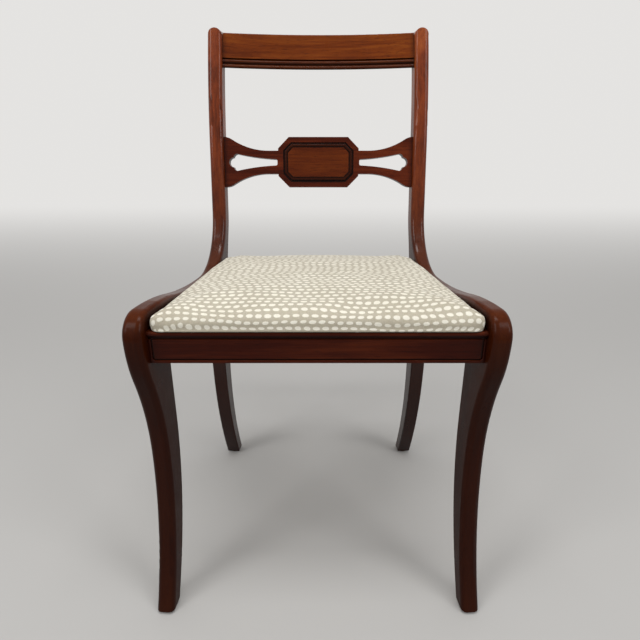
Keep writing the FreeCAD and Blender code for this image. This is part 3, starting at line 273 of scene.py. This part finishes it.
class Shader:
    """A material's node tree, with short ways to add and join nodes."""

    MIX_COLOURS = (6, 7)
    MIX_RESULT = 2

    def __init__(self, name):
        self.material = bpy.data.materials.new(name)
        self.material.use_nodes = True
        self.tree = self.material.node_tree
        self.surface = self.tree.nodes["Principled BSDF"]

    def add(self, kind, **settings):
        node = self.tree.nodes.new(kind)
        for key, value in settings.items():
            setattr(node, key, value)
        return node

    def join(self, source, target):
        self.tree.links.new(source, target)

    def feed(self, socket, value):
        """Sets a socket to a constant, or links it to another node's output."""
        if isinstance(value, bpy.types.NodeSocket):
            self.join(value, socket)
        else:
            socket.default_value = value

    def dress(self, parts):
        """Sets or links inputs of the surface, by their names."""
        for name, value in parts.items():
            self.feed(self.surface.inputs[name], value)

    def math(self, operation, *values, clamp=False):
        node = self.add("ShaderNodeMath", operation=operation, use_clamp=clamp)
        for socket, value in zip(node.inputs, values):
            self.feed(socket, value)
        return node.outputs[0]

    def total(self, first, first_share, second, second_share):
        """The weighted sum of two values."""
        return self.math(
            "ADD", self.math("MULTIPLY", first, first_share), self.math("MULTIPLY", second, second_share)
        )

    def axes(self, vector):
        """The x, y and z of a vector."""
        node = self.add("ShaderNodeSeparateXYZ")
        self.join(vector, node.inputs[0])
        return node.outputs

    def mapping(self, scale, location=(0, 0, 0), source=None):
        """Coordinates scaled along each axis: the piece's own, or those of another node."""
        if source is None:
            source = self.add("ShaderNodeTexCoord").outputs["Object"]
        node = self.add("ShaderNodeMapping")
        self.join(source, node.inputs["Vector"])
        node.inputs["Location"].default_value = location
        node.inputs["Scale"].default_value = scale
        return node.outputs["Vector"]

    def place(self, location=(0, 0, 0)):
        """The x, y and z of a point on the piece, moved by a location."""
        return self.axes(self.mapping((1, 1, 1), location))

    def noise(self, vector, detail=2.0, roughness=0.5, distortion=0.0):
        node = self.add("ShaderNodeTexNoise")
        self.join(vector, node.inputs["Vector"])
        node.inputs["Scale"].default_value = 1.0
        node.inputs["Detail"].default_value = detail
        node.inputs["Roughness"].default_value = roughness
        node.inputs["Distortion"].default_value = distortion
        return node.outputs["Fac"]

    def cloud(self, scale, offset=(0, 0, 0), detail=3, roughness=0.5):
        """Noise that is the same along all three axes."""
        return self.noise(self.mapping((scale, scale, scale), offset), detail, roughness)

    def ramp(self, value, *stops):
        """A colour ramp from (position, colour) stops."""
        node = self.add("ShaderNodeValToRGB")
        elements = node.color_ramp.elements
        while len(elements) < len(stops):
            elements.new(0.5)
        for element, (position, colour) in zip(elements, stops):
            element.position = position
            element.color = (*colour, 1)
        self.join(value, node.inputs["Fac"])
        return node.outputs["Color"]

    def level(self, value, low, high, to_low=0.0, to_high=1.0, ease="LINEAR"):
        """Turns the range from low to high into another, and holds it at its ends."""
        node = self.add("ShaderNodeMapRange", clamp=True, interpolation_type=ease)
        for socket, number in zip(node.inputs, (value, low, high, to_low, to_high)):
            self.feed(socket, number)
        return node.outputs[0]

    def mix(self, share, first, second, blend="MIX"):
        """Mixes two colours, each a socket or three numbers."""
        node = self.add("ShaderNodeMix", data_type="RGBA", blend_type=blend)
        self.feed(node.inputs[0], share)
        for number, value in zip(self.MIX_COLOURS, (first, second)):
            linked = isinstance(value, bpy.types.NodeSocket)
            self.feed(node.inputs[number], value if linked else (*value, 1))
        return node.outputs[self.MIX_RESULT]

    def occlusion(self, reach, **settings):
        node = self.add("ShaderNodeAmbientOcclusion", samples=6, **settings)
        node.inputs["Distance"].default_value = reach
        return node.outputs["AO"]

    def bump(self, height, distance, strength, normal=None):
        node = self.add("ShaderNodeBump")
        node.inputs["Distance"].default_value = distance
        node.inputs["Strength"].default_value = strength
        self.join(height, node.inputs["Height"])
        if normal is not None:
            self.join(normal, node.inputs["Normal"])
        return node.outputs["Normal"]


def shade(colour, share):
    return [part * share for part in colour]


def set_material(piece, material):
    piece.data.materials.clear()
    piece.data.materials.append(material)


def grained(shader, pattern, grain, offset):
    """Noise that is coarse along a piece's grain and fine across it."""
    scale = tuple(pattern.along if axis == grain else pattern.across for axis in "xyz")
    return shader.noise(
        shader.mapping(scale, offset), pattern.detail, pattern.roughness, pattern.distortion
    )


def wood_colour(shader, grain, offset, tones):
    """Broad figure, fine streaks and dark open pores that run along the piece."""
    flame = grained(shader, FLAME, grain, offset)
    streaks = grained(shader, STREAKS, grain, offset)
    pores = shader.level(grained(shader, PORES, grain, offset), *PORE_RANGE)
    figure = shader.total(flame, FLAME_SHARE, streaks, STREAK_SHARE)
    colour = shader.ramp(figure, *zip(TONE_STOPS, tones))
    colour = shader.mix(shader.math("MULTIPLY", pores, PORE_DEPTH), colour, shade(tones[0], PORE_SHADE))
    return colour, streaks, pores


def panel_rim(shader):
    """1 on the tablet's bead and grooves, which get painted shade, and 0 on its field."""
    low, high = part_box("tablet_panel")
    half = (high - low) / 2
    place = shader.place(-(low + high) / 2)
    side = shader.math("SUBTRACT", half.x, shader.math("ABSOLUTE", place[0]))
    top = shader.math("SUBTRACT", half.z, shader.math("ABSOLUTE", place[2]))
    past_corner = shader.math("SUBTRACT", shader.math("ADD", side, top), PANEL_CORNER)
    corner = shader.math("MULTIPLY", past_corner, math.sqrt(0.5))
    inset = shader.math("MINIMUM", shader.math("MINIMUM", side, top), corner)
    return shader.level(inset, PANEL_RIM, PANEL_RIM_EASE * PANEL_RIM)


def crest_reeds(shader):
    """Painted shade along the reeds at the foot of the crest rail, and 0 above them."""
    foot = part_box("crest_rail")[0].z
    height = shader.place()[2]
    return shader.level(height, foot + REEDS, foot + REEDS_EASE * REEDS, 0.0, REEDS_SHARE)


PAINTED_SHADE_MASKS = {"tablet_panel": panel_rim, "crest_rail": crest_reeds}


def polished_wood(name, grain, offset, finish, painted_shade_mask=None):
    """Old polished mahogany, rubbed along its edges, with grime and painted shade in its hollows, painted
    shade towards the feet, underneath, on the crest's reeds and on the tablet's rim, and painted light on
    surfaces that face up.
    """
    shader = Shader(name)
    dark, light = finish.tones[0], finish.tones[2]
    colour, streaks, pores = wood_colour(shader, grain, offset, finish.tones)
    blotch = shader.cloud(BLOTCH_SCALE, offset)
    colour = shader.mix(shader.level(blotch, *BLOTCH_RANGE), colour, dark)
    edge = shader.level(shader.occlusion(EDGE_REACH, inside=True, only_local=True), *EDGE_RANGE)
    rubbed = shader.level(shader.cloud(RUBBED_SCALE, offset), *RUBBED_RANGE)
    worn = shader.math("MULTIPLY", shader.math("MULTIPLY", edge, rubbed), WEAR)
    colour = shader.mix(worn, colour, shade(light, WEAR_LIFT))
    # Painted shade: darker towards the floor, where less light reaches
    if finish.feet:
        stops = [(height, [share] * 3) for height, share in DARKER_BELOW]
        shaded_below = shader.ramp(shader.place()[2], *stops)
        colour = shader.mix(shaded_below, colour, shade(dark, PAINTED_SHADE_BELOW))
    facing_up = shader.axes(shader.add("ShaderNodeNewGeometry").outputs["Normal"])[2]
    # Painted shade on surfaces that face down
    colour = shader.mix(shader.level(facing_up, *UNDER_RANGE), colour, shade(dark, UNDER_SHADE))
    # Painted light: surfaces that face up are lightened towards the light tone, as if lit from above
    colour = shader.mix(shader.level(facing_up, *PAINTED_TOP_LIGHT_RANGE, 0.0, finish.bleach), colour, light)
    # Painted shade on the tablet's rim and the crest's reeds
    if painted_shade_mask is not None:
        rim = shader.math("MULTIPLY", painted_shade_mask(shader), PAINTED_SHADE_MASK_SHARE)
        colour = shader.mix(rim, colour, shade(dark, PAINTED_SHADE_MASK_DARKNESS))
    # Grime and painted shade in hollows and between parts
    grime_and_shade = shader.level(shader.occlusion(HOLLOW_REACH), *GRIME_AND_SHADE_RANGE)
    colour = shader.mix(grime_and_shade, colour, shade(dark, GRIME_AND_SHADE_DARKNESS))
    smudge = shader.cloud(SMUDGE_SCALE, offset, detail=4, roughness=0.6)
    pitted = shader.bump(pores, distance=-0.08 * MM, strength=0.6)
    shader.dress({
        "Base Color": colour,
        "Roughness": shader.level(smudge, *SMUDGE_RANGE),
        "Specular IOR Level": POLISH_SPECULAR,
        "Coat Weight": finish.gloss,
        "Coat Roughness": COAT_ROUGHNESS,
        "Normal": shader.bump(streaks, distance=0.12 * MM, strength=0.35, normal=pitted),
    })
    return shader.material


def raw_wood(name, grain, offset, tones):
    """Plain unfinished wood, matt, with a sawn nap."""
    shader = Shader(name)
    colour, streaks, pores = wood_colour(shader, grain, offset, tones)
    stain = shader.cloud(STAIN_SCALE, offset, detail=4, roughness=0.6)
    pitted = shader.bump(pores, distance=-0.10 * MM, strength=0.7)
    shader.dress({
        "Base Color": shader.mix(shader.level(stain, *STAIN_RANGE), colour, shade(tones[0], STAIN_SHADE)),
        "Roughness": shader.level(streaks, *SAWN_RANGE),
        "Specular IOR Level": RAW_SPECULAR,
        "Normal": shader.bump(streaks, distance=0.25 * MM, strength=0.5, normal=pitted),
    })
    return shader.material


def plywood(name):
    """Plywood: a pale face veneer, and five plies that show as bands along its edges."""
    shader = Shader(name)
    face, streaks, pores = wood_colour(shader, "x", PLY_OFFSET, PLY_TONES)
    ply = shader.add("ShaderNodeTexWave", wave_type="BANDS", bands_direction="Z")
    shader.join(shader.mapping((1, 1, 1)), ply.inputs["Vector"])
    ply.inputs["Scale"].default_value = 2 * math.pi / (WAVE_TURN * PLY_PAIR)
    bands = shader.level(ply.outputs["Fac"], *PLY_RANGE)
    side = shader.mix(bands, face, shade(PLY_TONES[0], PLY_CROSS_SHADE))
    facing_up = shader.axes(shader.add("ShaderNodeNewGeometry").outputs["True Normal"])[2]
    flat = shader.level(shader.math("ABSOLUTE", facing_up), *PLY_FACE_RANGE)
    pitted = shader.bump(pores, distance=-0.10 * MM, strength=0.6)
    shader.dress({
        "Base Color": shader.mix(flat, side, face),
        "Roughness": PLY_ROUGHNESS,
        "Specular IOR Level": RAW_SPECULAR,
        "Normal": shader.bump(streaks, distance=0.20 * MM, strength=0.5, normal=pitted),
    })
    return shader.material


def plated_steel(name):
    """Zinc-plated steel with a dull, slightly cloudy skin."""
    shader = Shader(name)
    cloud = shader.cloud(STEEL_SCALE, detail=4, roughness=0.6)
    shader.dress({
        "Base Color": shader.ramp(cloud, *STEEL_TONES),
        "Metallic": 1.0,
        "Roughness": shader.level(cloud, *STEEL_RANGE),
        "Normal": shader.bump(cloud, distance=0.05 * MM, strength=0.4),
    })
    return shader.material


def glide_plastic(name):
    """Brown moulded plastic, scuffed where it has slid over floors."""
    shader = Shader(name)
    grain = shader.cloud(PLASTIC_SCALE, roughness=0.6)
    scuff = shader.noise(shader.mapping(SCUFF_SCALE), detail=3, roughness=0.6)
    colour = shader.ramp(grain, *PLASTIC_TONES)
    shader.dress({
        "Base Color": shader.mix(shader.level(scuff, *SCUFF_RANGE), colour, SCUFF_COLOUR),
        "Roughness": shader.level(scuff, *SCUFF_ROUGHNESS),
        "Normal": shader.bump(grain, distance=0.04 * MM, strength=0.4),
    })
    return shader.material


def finish_frame():
    """Gives every node that stays in sight its finish, with the grain of each piece at a place of its own."""
    for number, (node, (grain, finish)) in enumerate(POLISHED_NODES.items()):
        offset = tuple(number * step for step in POLISHED_OFFSET)
        wood = polished_wood(f"mahogany_{node}", grain, offset, finish, PAINTED_SHADE_MASKS.get(node))
        set_material(NODES[node], wood)
    for number, (node, grain) in enumerate(RAW_NODES.items()):
        offset = tuple(number * step for step in RAW_OFFSET)
        set_material(NODES[node], raw_wood(f"beech_{node}", grain, offset, BEECH_TONES))
    set_material(NODES["seat_board"], plywood("plywood"))
    set_material(NODES["corner_block_screws"], plated_steel("screw_steel"))
    set_material(NODES["seat_tacks"], plated_steel("tack_steel"))
    set_material(NODES["glides"], glide_plastic("glide_plastic"))


def seat_plan(inset, back_inset=None):
    """Corners of the seat's plan, drawn in by inset, anticlockwise from the front left."""
    slope = (SEAT_FRONT_HALF - SEAT_BACK_HALF) / (SEAT_HIGH.y - SEAT_LOW.y)
    side = inset * math.hypot(1, slope)
    front = SEAT_LOW.y + inset
    back = SEAT_HIGH.y - (inset if back_inset is None else back_inset)
    front_half = SEAT_FRONT_HALF - slope * inset - side
    back_half = SEAT_BACK_HALF + slope * (SEAT_HIGH.y - back) - side
    return np.array([(-front_half, front), (front_half, front), (back_half, back), (-back_half, back)])


def nearest_on_plan(points, plan):
    """Nearest points of a convex outline, the signed distance to it and the outward directions."""
    best = None
    inside = np.full(len(points), -HUGE)
    for start, end in zip(plan, np.roll(plan, -1, axis=0)):
        along = end - start
        length = np.hypot(*along)
        outward = np.array((along[1], -along[0])) / length
        inside = np.maximum(inside, (points - start) @ outward)
        share = np.clip((points - start) @ along / length ** 2, 0, 1)
        near = start + share[:, None] * along
        reach = np.hypot(*(points - near).T)
        if best is None:
            nearest, best = near, reach
        else:
            nearer = reach < best
            nearest = np.where(nearer[:, None], near, nearest)
            best = np.where(nearer, reach, best)
    outside = inside > 0
    distance = np.where(outside, best, inside)
    away = (points - nearest) / np.maximum(best, TINY)[:, None]
    return nearest, distance, np.where(outside[:, None], away, -away)


def seat_inset(points):
    """How far each plan point lies inside the seat's rounded outline."""
    return SEAT_CORNER - nearest_on_plan(points, seat_plan(SEAT_CORNER))[1]


def seat_profile(draw=0.0, crown=SEAT_CROWN):
    """Inset, inset at the back and height of the seat's skin, from the rail up to the crown."""
    rows = [(SEAT_TUCK, SEAT_TUCK, 0), (FOOT_TUCK, FOOT_TUCK, FOOT_HEIGHT), (0, 0, SEAT_WIDEST)]
    for turn in EDGE_TURNS:
        angle = math.radians(turn)
        inset = SEAT_EDGE * (1 - math.cos(angle))
        rows.append((inset, inset * BACK_EASE, SEAT_WIDEST + SEAT_EDGE * math.sin(angle)))
    edge, back_edge, edge_height = rows[-1]
    for share in CROWN_SHARES:
        rise = math.sin(share * math.pi / 2)
        inset = edge + (CROWN_REACH - edge) * share
        back_inset = back_edge + (BACK_CROWN_REACH - back_edge) * share
        rows.append((inset, back_inset, edge_height + (crown - edge_height) * rise))
    return [(inset + draw, back_inset + draw, height) for inset, back_inset, height in rows]


def seat_ring(inset, back_inset, side_draw):
    """Points round the seat's plan at an inset, with its sides drawn in between the corners."""
    radius = max(SEAT_CORNER - inset, SEAT_CORNER_LEAST)
    centres = seat_plan(inset + radius, back_inset + radius)
    ring = []
    for number, centre in enumerate(centres):
        start = -180 + 90 * number
        for step in range(CORNER_STEPS + 1):
            angle = math.radians(start + 90 * step / CORNER_STEPS)
            ring.append(centre + radius * np.array((math.cos(angle), math.sin(angle))))
        last = ring[-1]
        following = centres[(number + 1) % 4]
        angle = math.radians(start + 90)
        first = following + radius * np.array((math.cos(angle), math.sin(angle)))
        inward = -np.array((math.cos(angle), math.sin(angle)))
        for step in range(1, SIDE_STEPS):
            share = step / SIDE_STEPS
            draw = side_draw * math.sin(math.pi * share)
            ring.append(last + (first - last) * share + inward * draw)
    return ring


def fallen(height, x, y):
    """Height of the seat's skin, let down towards the back edge and most at its two corners."""
    least = BOARD_TOP + SKIN_OVER_BOARD - SEAT_LOW.z
    share = min(max(1 - (SEAT_HIGH.y - y) / BACK_FALL_REACH, 0), 1)
    ease = share * share * (3 - 2 * share)
    keep = 1 - ease * (BACK_FALL + CORNER_FALL * (x / SEAT_BACK_HALF) ** 2)
    return height if height < least else least + (height - least) * keep


def pillow_mesh():
    """The seat's start shape, a little smaller than the stuffed seat: rings of its profile, closed."""
    form = bmesh.new()
    rings = []
    for inset, back_inset, height in seat_profile(STUFFING_START, STUFFING_CROWN):
        ring = seat_ring(inset, back_inset, SIDE_DRAW * min(1, height / SEAT_WIDEST))
        rings.append([form.verts.new((*point, SEAT_LOW.z + fallen(height, *point))) for point in ring])
    for lower, upper in zip(rings, rings[1:]):
        for number in range(len(lower)):
            following = (number + 1) % len(lower)
            form.faces.new((lower[number], lower[following], upper[following], upper[number]))
    form.faces.new(rings[-1])
    form.faces.new(list(reversed(rings[0])))
    mesh = bpy.data.meshes.new("seat_cushion")
    form.to_mesh(mesh)
    form.free()
    return mesh


def points_of(mesh):
    flat = np.empty(len(mesh.vertices) * 3)
    mesh.vertices.foreach_get("co", flat)
    return flat.reshape(-1, 3)


def points_in(form):
    return np.array([vertex.co[:] for vertex in form.verts])


def evaluated_mesh(piece):
    return bpy.data.meshes.new_from_object(piece.evaluated_get(bpy.context.evaluated_depsgraph_get()))


def apply_modifiers(piece):
    mesh = evaluated_mesh(piece)
    piece.modifiers.clear()
    piece.data = mesh


def stuff(piece):
    """Swells the seat with a cloth simulation, held where it rests on the rails."""
    start = points_of(piece.data)
    resting = piece.vertex_groups.new(name="resting")
    low = np.flatnonzero(start[:, 2] < SEAT_LOW.z + HELD_HEIGHT)
    resting.add(low.tolist(), 1.0, "REPLACE")
    cloth = piece.modifiers.new("stuffing", "CLOTH")
    cloth.settings.quality = STUFFING_QUALITY
    cloth.settings.mass = CLOTH_MASS
    cloth.settings.use_pressure = True
    cloth.settings.uniform_pressure_force = STUFFING_PRESSURE
    cloth.settings.vertex_group_mass = "resting"
    cloth.settings.effector_weights.gravity = 0
    for number in range(1, STUFFING_FRAMES + 1):
        bpy.context.scene.frame_set(number)
    swollen = evaluated_mesh(piece)
    move = points_of(swollen) - start
    reach = np.linalg.norm(move, axis=1)
    move *= np.minimum(1, STUFFING_CAP / np.maximum(reach, TINY))[:, None]
    outward = nearest_on_plan(start[:, :2], seat_plan(SEAT_CORNER))[2]
    swell = np.sum(move[:, :2] * outward, axis=1)
    drawn_in = np.clip(swell, 0, SIDE_SWELL) - swell
    near_edge = seat_inset(start[:, :2]) < SIDE_BAND
    move[:, :2] += np.where(near_edge, drawn_in, 0)[:, None] * outward
    piece.modifiers.clear()
    piece.vertex_groups.clear()
    piece.data.vertices.foreach_set("co", (start + move).ravel())
    bpy.context.scene.frame_set(1)


def square_foot(form):
    """Draws the cushion's lower edge out again to where it rests on the rail, and keeps it sharp."""
    places = points_in(form)
    resting = places[:, 2] < SEAT_LOW.z + RESTING
    crease = form.edges.layers.float.new("crease_edge")
    rim = {}
    for edge in form.edges:
        low_faces = [all(resting[vertex.index] for vertex in face.verts) for face in edge.link_faces]
        if len(low_faces) == 2 and low_faces[0] != low_faces[1]:
            edge[crease] = 1.0
            rim.update((vertex.index, vertex) for vertex in edge.verts)
    nearest, _, outward = nearest_on_plan(places[list(rim), :2], seat_plan(SEAT_CORNER))
    for vertex, place in zip(rim.values(), nearest + outward * (SEAT_CORNER - SEAT_TUCK)):
        vertex.co.x, vertex.co.y = place


def hang_sides(form):
    """Lets the cover's lower edge down along both sides, into the frame between the side rails."""
    places = points_in(form)
    resting = places[:, 2] < SEAT_LOW.z + RESTING
    inset = seat_inset(places[:, :2])
    to_end = np.minimum(places[:, 1] - SEAT_LOW.y, SEAT_HIGH.y - places[:, 1])
    clear_of_rails = np.clip((to_end - HANG_FROM_END) / HANG_END_EASE, 0, 1)
    by_edge = np.clip((HANG_WIDTH - inset) / HANG_WIDTH_EASE, 0, 1)
    drop = np.where(resting, SIDE_HANG * clear_of_rails * by_edge, 0)
    for vertex, hang in zip(form.verts, drop):
        vertex.co.z -= hang


def open_underside(piece):
    """Leaves the cover's turned-under edge below the board, with the board bare inside it."""
    form = bmesh.new()
    form.from_mesh(piece.data)
    for vertex in form.verts:
        vertex.co.z = max(vertex.co.z, SEAT_LOW.z)
        if vertex.co.z < SEAT_LOW.z + FLATTENED:
            vertex.co.z = SEAT_LOW.z
    square_foot(form)
    centres = np.array([face.calc_center_median()[:] for face in form.faces])
    bare = (centres[:, 2] < SEAT_LOW.z + RESTING) & (seat_inset(centres[:, :2]) > TURNED_UNDER)
    hang_sides(form)
    faces = [face for face, chosen in zip(form.faces, bare) if chosen]
    bare_faces = set(faces)
    inner = {vertex for face in faces for vertex in face.verts}
    rim = [vertex for vertex in inner if any(face not in bare_faces for face in vertex.link_faces)]
    places = np.array([vertex.co[:2] for vertex in rim])
    nearest = nearest_on_plan(places, seat_plan(TURNED_UNDER))[0]
    for vertex, place in zip(rim, nearest):
        vertex.co.x, vertex.co.y = place
    grown = bmesh.ops.extrude_face_region(form, geom=faces)["geom"]
    for item in grown:
        if isinstance(item, bmesh.types.BMVert):
            item.co.z = BOARD_TOP
    bmesh.ops.delete(form, geom=faces, context="FACES_ONLY")
    bmesh.ops.recalc_face_normals(form, faces=form.faces)
    form.to_mesh(piece.data)
    form.free()


def unrolled_profile():
    """The cover's section from the top to under the board, and the cloth it takes beyond its plan."""
    rows = [(inset, height) for inset, _, height in reversed(seat_profile())]
    fine = []
    for (inset_a, height_a), (inset_b, height_b) in zip(rows, rows[1:]):
        for step in range(UNROLL_STEPS):
            share = step / UNROLL_STEPS
            fine.append((inset_a + (inset_b - inset_a) * share, height_a + (height_b - height_a) * share))
    fine += [(SEAT_TUCK + step * MM, 0) for step in range(int(TURNED_UNDER / MM) + UNROLL_SPARE)]
    fine = np.array([row for row in fine if row[0] <= CLOTH_REACH or row[1] <= 0])
    steps = np.hypot(*np.diff(fine, axis=0).T)
    length = np.concatenate(([0], np.cumsum(steps)))
    return fine, length - (fine[0, 0] - fine[:, 0])


def map_cloth(piece):
    """Stores where each point lies on the flat cloth: the plan on top, unrolled over the edges."""
    section, spare = unrolled_profile()
    points = points_of(piece.data)
    plan = points[:, :2]
    height = points[:, 2] - SEAT_LOW.z
    inset = seat_inset(plan)
    nearest, distance, outward = nearest_on_plan(plan, seat_plan(CLOTH_REACH))
    gap = (inset[:, None] - section[:, 0]) ** 2 + (height[:, None] - section[:, 1]) ** 2
    extra = spare[np.argmin(gap, axis=1)]
    edge = (distance > 0) | (height < SEAT_WIDEST)
    unrolled = np.where((distance > 0)[:, None], nearest, plan)
    reach = np.where(distance > 0, distance, 0) + extra
    flat = np.where(edge[:, None], unrolled + outward * reach[:, None], plan)
    layer = piece.data.attributes.new("cloth_map", "FLOAT_VECTOR", "POINT")
    layer.data.foreach_set("vector", np.column_stack((flat, np.zeros(len(flat)))).ravel())


def cloth_noise(shader, flat, scale, detail, roughness=0.5):
    """Noise over the flat cloth, with a scale of its own across and along it."""
    return shader.noise(shader.mapping((*scale, 1), source=flat), detail, roughness)


def cell(shader, place):
    """The number of the cell that a place is in, and how far it lies from that cell's middle."""
    return shader.math("FLOOR", place), shader.math("SUBTRACT", shader.math("FRACT", place), 0.5)


def cloth_dots(shader, flat, across, along):
    """1 on the dots and 0 between them: wavy rows, with a size and a place by chance for each dot."""
    sway = shader.math("SUBTRACT", cloth_noise(shader, flat, SWAY_SCALE, detail=1), 0.5)
    lifted = shader.math("ADD", along, shader.math("MULTIPLY", sway, SWAY))
    row, in_row = cell(shader, shader.math("DIVIDE", lifted, ROW_PITCH))
    row_random = shader.add("ShaderNodeTexWhiteNoise", noise_dimensions="1D")
    shader.join(row, row_random.inputs["W"])
    drift = cloth_noise(shader, flat, DRIFT_SCALE, detail=1)
    moved = shader.total(row_random.outputs["Value"], ROW_JOG, drift, DRIFT)
    column_place = shader.math("ADD", shader.math("DIVIDE", across, DOT_PITCH), moved)
    column, in_column = cell(shader, column_place)
    dot_place = shader.add("ShaderNodeCombineXYZ")
    shader.join(column, dot_place.inputs[0])
    shader.join(row, dot_place.inputs[1])
    dot_random = shader.add("ShaderNodeTexWhiteNoise", noise_dimensions="2D")
    shader.join(dot_place.outputs[0], dot_random.inputs["Vector"])
    chance = shader.axes(dot_random.outputs["Color"])
    half_width = shader.level(chance[0], 0, 1, *DOT_HALF_WIDTH)
    half_height = shader.level(chance[1], 0, 1, *DOT_HALF_HEIGHT)
    shifted = shader.math("ADD", in_row, shader.level(chance[2], 0, 1, *DOT_SHIFT))
    wide = shader.math("ABSOLUTE", shader.math("DIVIDE", in_column, half_width))
    tall = shader.math("ABSOLUTE", shader.math("DIVIDE", shifted, half_height))
    ring = shader.math(
        "ADD", shader.math("POWER", wide, DOT_SQUARENESS), shader.math("POWER", tall, DOT_SQUARENESS)
    )
    fuzz = shader.math("SUBTRACT", cloth_noise(shader, flat, RAGGED_SCALE, detail=2), 0.5)
    return shader.level(shader.math("ADD", ring, shader.math("MULTIPLY", fuzz, RAGGED)), *DOT_EDGE)


def dotted_cloth():
    """Greige woven cloth with wavy rows of ivory dots."""
    shader = Shader("dotted_cloth")
    flat = shader.add("ShaderNodeAttribute", attribute_name="cloth_map").outputs["Vector"]
    across, along, _ = shader.axes(flat)
    dot = cloth_dots(shader, flat, across, along)
    slub = cloth_noise(shader, flat, SLUB_SCALE, detail=3, roughness=0.6)
    warp = cloth_noise(shader, flat, WARP_SCALE, detail=3, roughness=0.6)
    thread = shader.total(slub, SLUB_SHARE, warp, WARP_SHARE)
    colour = shader.mix(dot, shader.ramp(thread, *GROUND_TONES), shader.ramp(thread, *IVORY_TONES))
    patch = shader.level(cloth_noise(shader, flat, PATCH_SCALE, detail=3), *PATCH_RANGE)
    over = shader.math("SINE", shader.math("MULTIPLY", across, 2 * math.pi / WEAVE_PITCH))
    under = shader.math("SINE", shader.math("MULTIPLY", along, 2 * math.pi / WEAVE_PITCH))
    woven = shader.bump(shader.math("MULTIPLY", over, under), distance=0.10 * MM, strength=0.5)
    fuzzy = shader.bump(thread, distance=0.30 * MM, strength=0.6, normal=woven)
    shader.dress({
        "Base Color": shader.mix(patch, colour, PATCH_COLOUR, "MULTIPLY"),
        "Roughness": 0.85,
        "Specular IOR Level": 0.2,
        "Sheen Weight": 0.12,
        "Sheen Roughness": 0.5,
        "Normal": shader.bump(dot, distance=0.18 * MM, strength=0.6, normal=fuzzy),
    })
    return shader.material


def add_cushion():
    """The stuffed seat in its cover, which stands for the padding and the cover of the CAD model."""
    piece = bpy.data.objects.new("seat_cushion", pillow_mesh())
    bpy.context.collection.objects.link(piece)
    remesh = piece.modifiers.new("even", "REMESH")
    remesh.mode = "VOXEL"
    remesh.voxel_size = VOXEL
    apply_modifiers(piece)
    stuff(piece)
    open_underside(piece)
    smooth = piece.modifiers.new("smooth", "SUBSURF")
    smooth.levels = 1
    smooth.render_levels = 1
    apply_modifiers(piece)
    map_cloth(piece)
    piece.data.shade_smooth()
    set_material(piece, dotted_cloth())
    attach(piece, "drop_in_seat")
    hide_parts("seat_cover", "seat_padding")


def seen_rays(shader):
    """1 for rays that show the background to the camera, straight or by way of gloss and glass."""
    path = shader.add("ShaderNodeLightPath")
    seen = shader.math("ADD", path.outputs["Is Camera Ray"], path.outputs["Is Glossy Ray"])
    return shader.math("ADD", seen, path.outputs["Is Transmission Ray"], clamp=True)


def add_floor():
    """A pale floor that keeps the chair's shadow and runs out into the pale background."""
    bpy.ops.mesh.primitive_plane_add(size=FLOOR_SIZE)
    floor = bpy.context.object
    floor.name = "floor"
    shader = Shader("pale_floor")
    shader.dress({"Base Color": (*FLOOR, 1), "Roughness": 0.8, "Specular IOR Level": 0.1})
    glow = shader.add("ShaderNodeEmission")
    glow.inputs["Color"].default_value = (*PAPER, 1)
    far = shader.level(shader.place()[1], *FADE, ease="SMOOTHSTEP")
    blend = shader.add("ShaderNodeMixShader")
    shader.join(shader.math("MULTIPLY", far, seen_rays(shader)), blend.inputs[0])
    shader.join(shader.surface.outputs[0], blend.inputs[1])
    shader.join(glow.outputs[0], blend.inputs[2])
    shader.join(blend.outputs[0], shader.tree.nodes["Material Output"].inputs["Surface"])
    set_material(floor, shader.material)


class Sky(Shader):
    """The world's node tree, with the same short ways."""

    def __init__(self, name):
        self.world = bpy.data.worlds.new(name)
        self.world.use_nodes = True
        self.tree = self.world.node_tree
        self.surface = self.tree.nodes["Background"]


def add_sky():
    """A pale backdrop behind the chair, and dimmer soft light from above and from in front."""
    sky = Sky("studio")
    way = sky.axes(sky.add("ShaderNodeTexCoord").outputs["Generated"])
    behind = sky.level(way[1], *SKY_BEHIND_RANGE)
    above = sky.level(way[2], *SKY_ABOVE_RANGE)
    around = sky.mix(behind, [SKY_FRONT] * 3, PAPER)
    sky.dress({"Color": sky.mix(above, around, [SKY_TOP] * 3), "Strength": 1})
    bpy.context.scene.world = sky.world


def add_lamp(lamp):
    data = bpy.data.lights.new(lamp.name, "AREA")
    data.shape = "RECTANGLE"
    data.size, data.size_y = lamp.size
    data.energy = lamp.watts
    light = bpy.data.objects.new(lamp.name, data)
    light.location = lamp.place
    aim = Vector(lamp.target) - Vector(lamp.place)
    light.rotation_euler = aim.to_track_quat("-Z", "Y").to_euler()
    bpy.context.collection.objects.link(light)


def add_camera():
    data = bpy.data.cameras.new("camera")
    data.sensor_width = CAMERA_SENSOR
    data.lens = CAMERA_LENS
    camera = bpy.data.objects.new("camera", data)
    camera.location = CAMERA_PLACE
    camera.rotation_euler = (math.pi / 2 - CAMERA_PITCH, 0, 0)
    bpy.context.collection.objects.link(camera)
    bpy.context.scene.camera = camera


bpy.context.scene.view_settings.view_transform = "Standard"
add_camera()
add_floor()
add_sky()
for lamp in LAMPS:
    add_lamp(lamp)
finish_frame()
add_cushion()
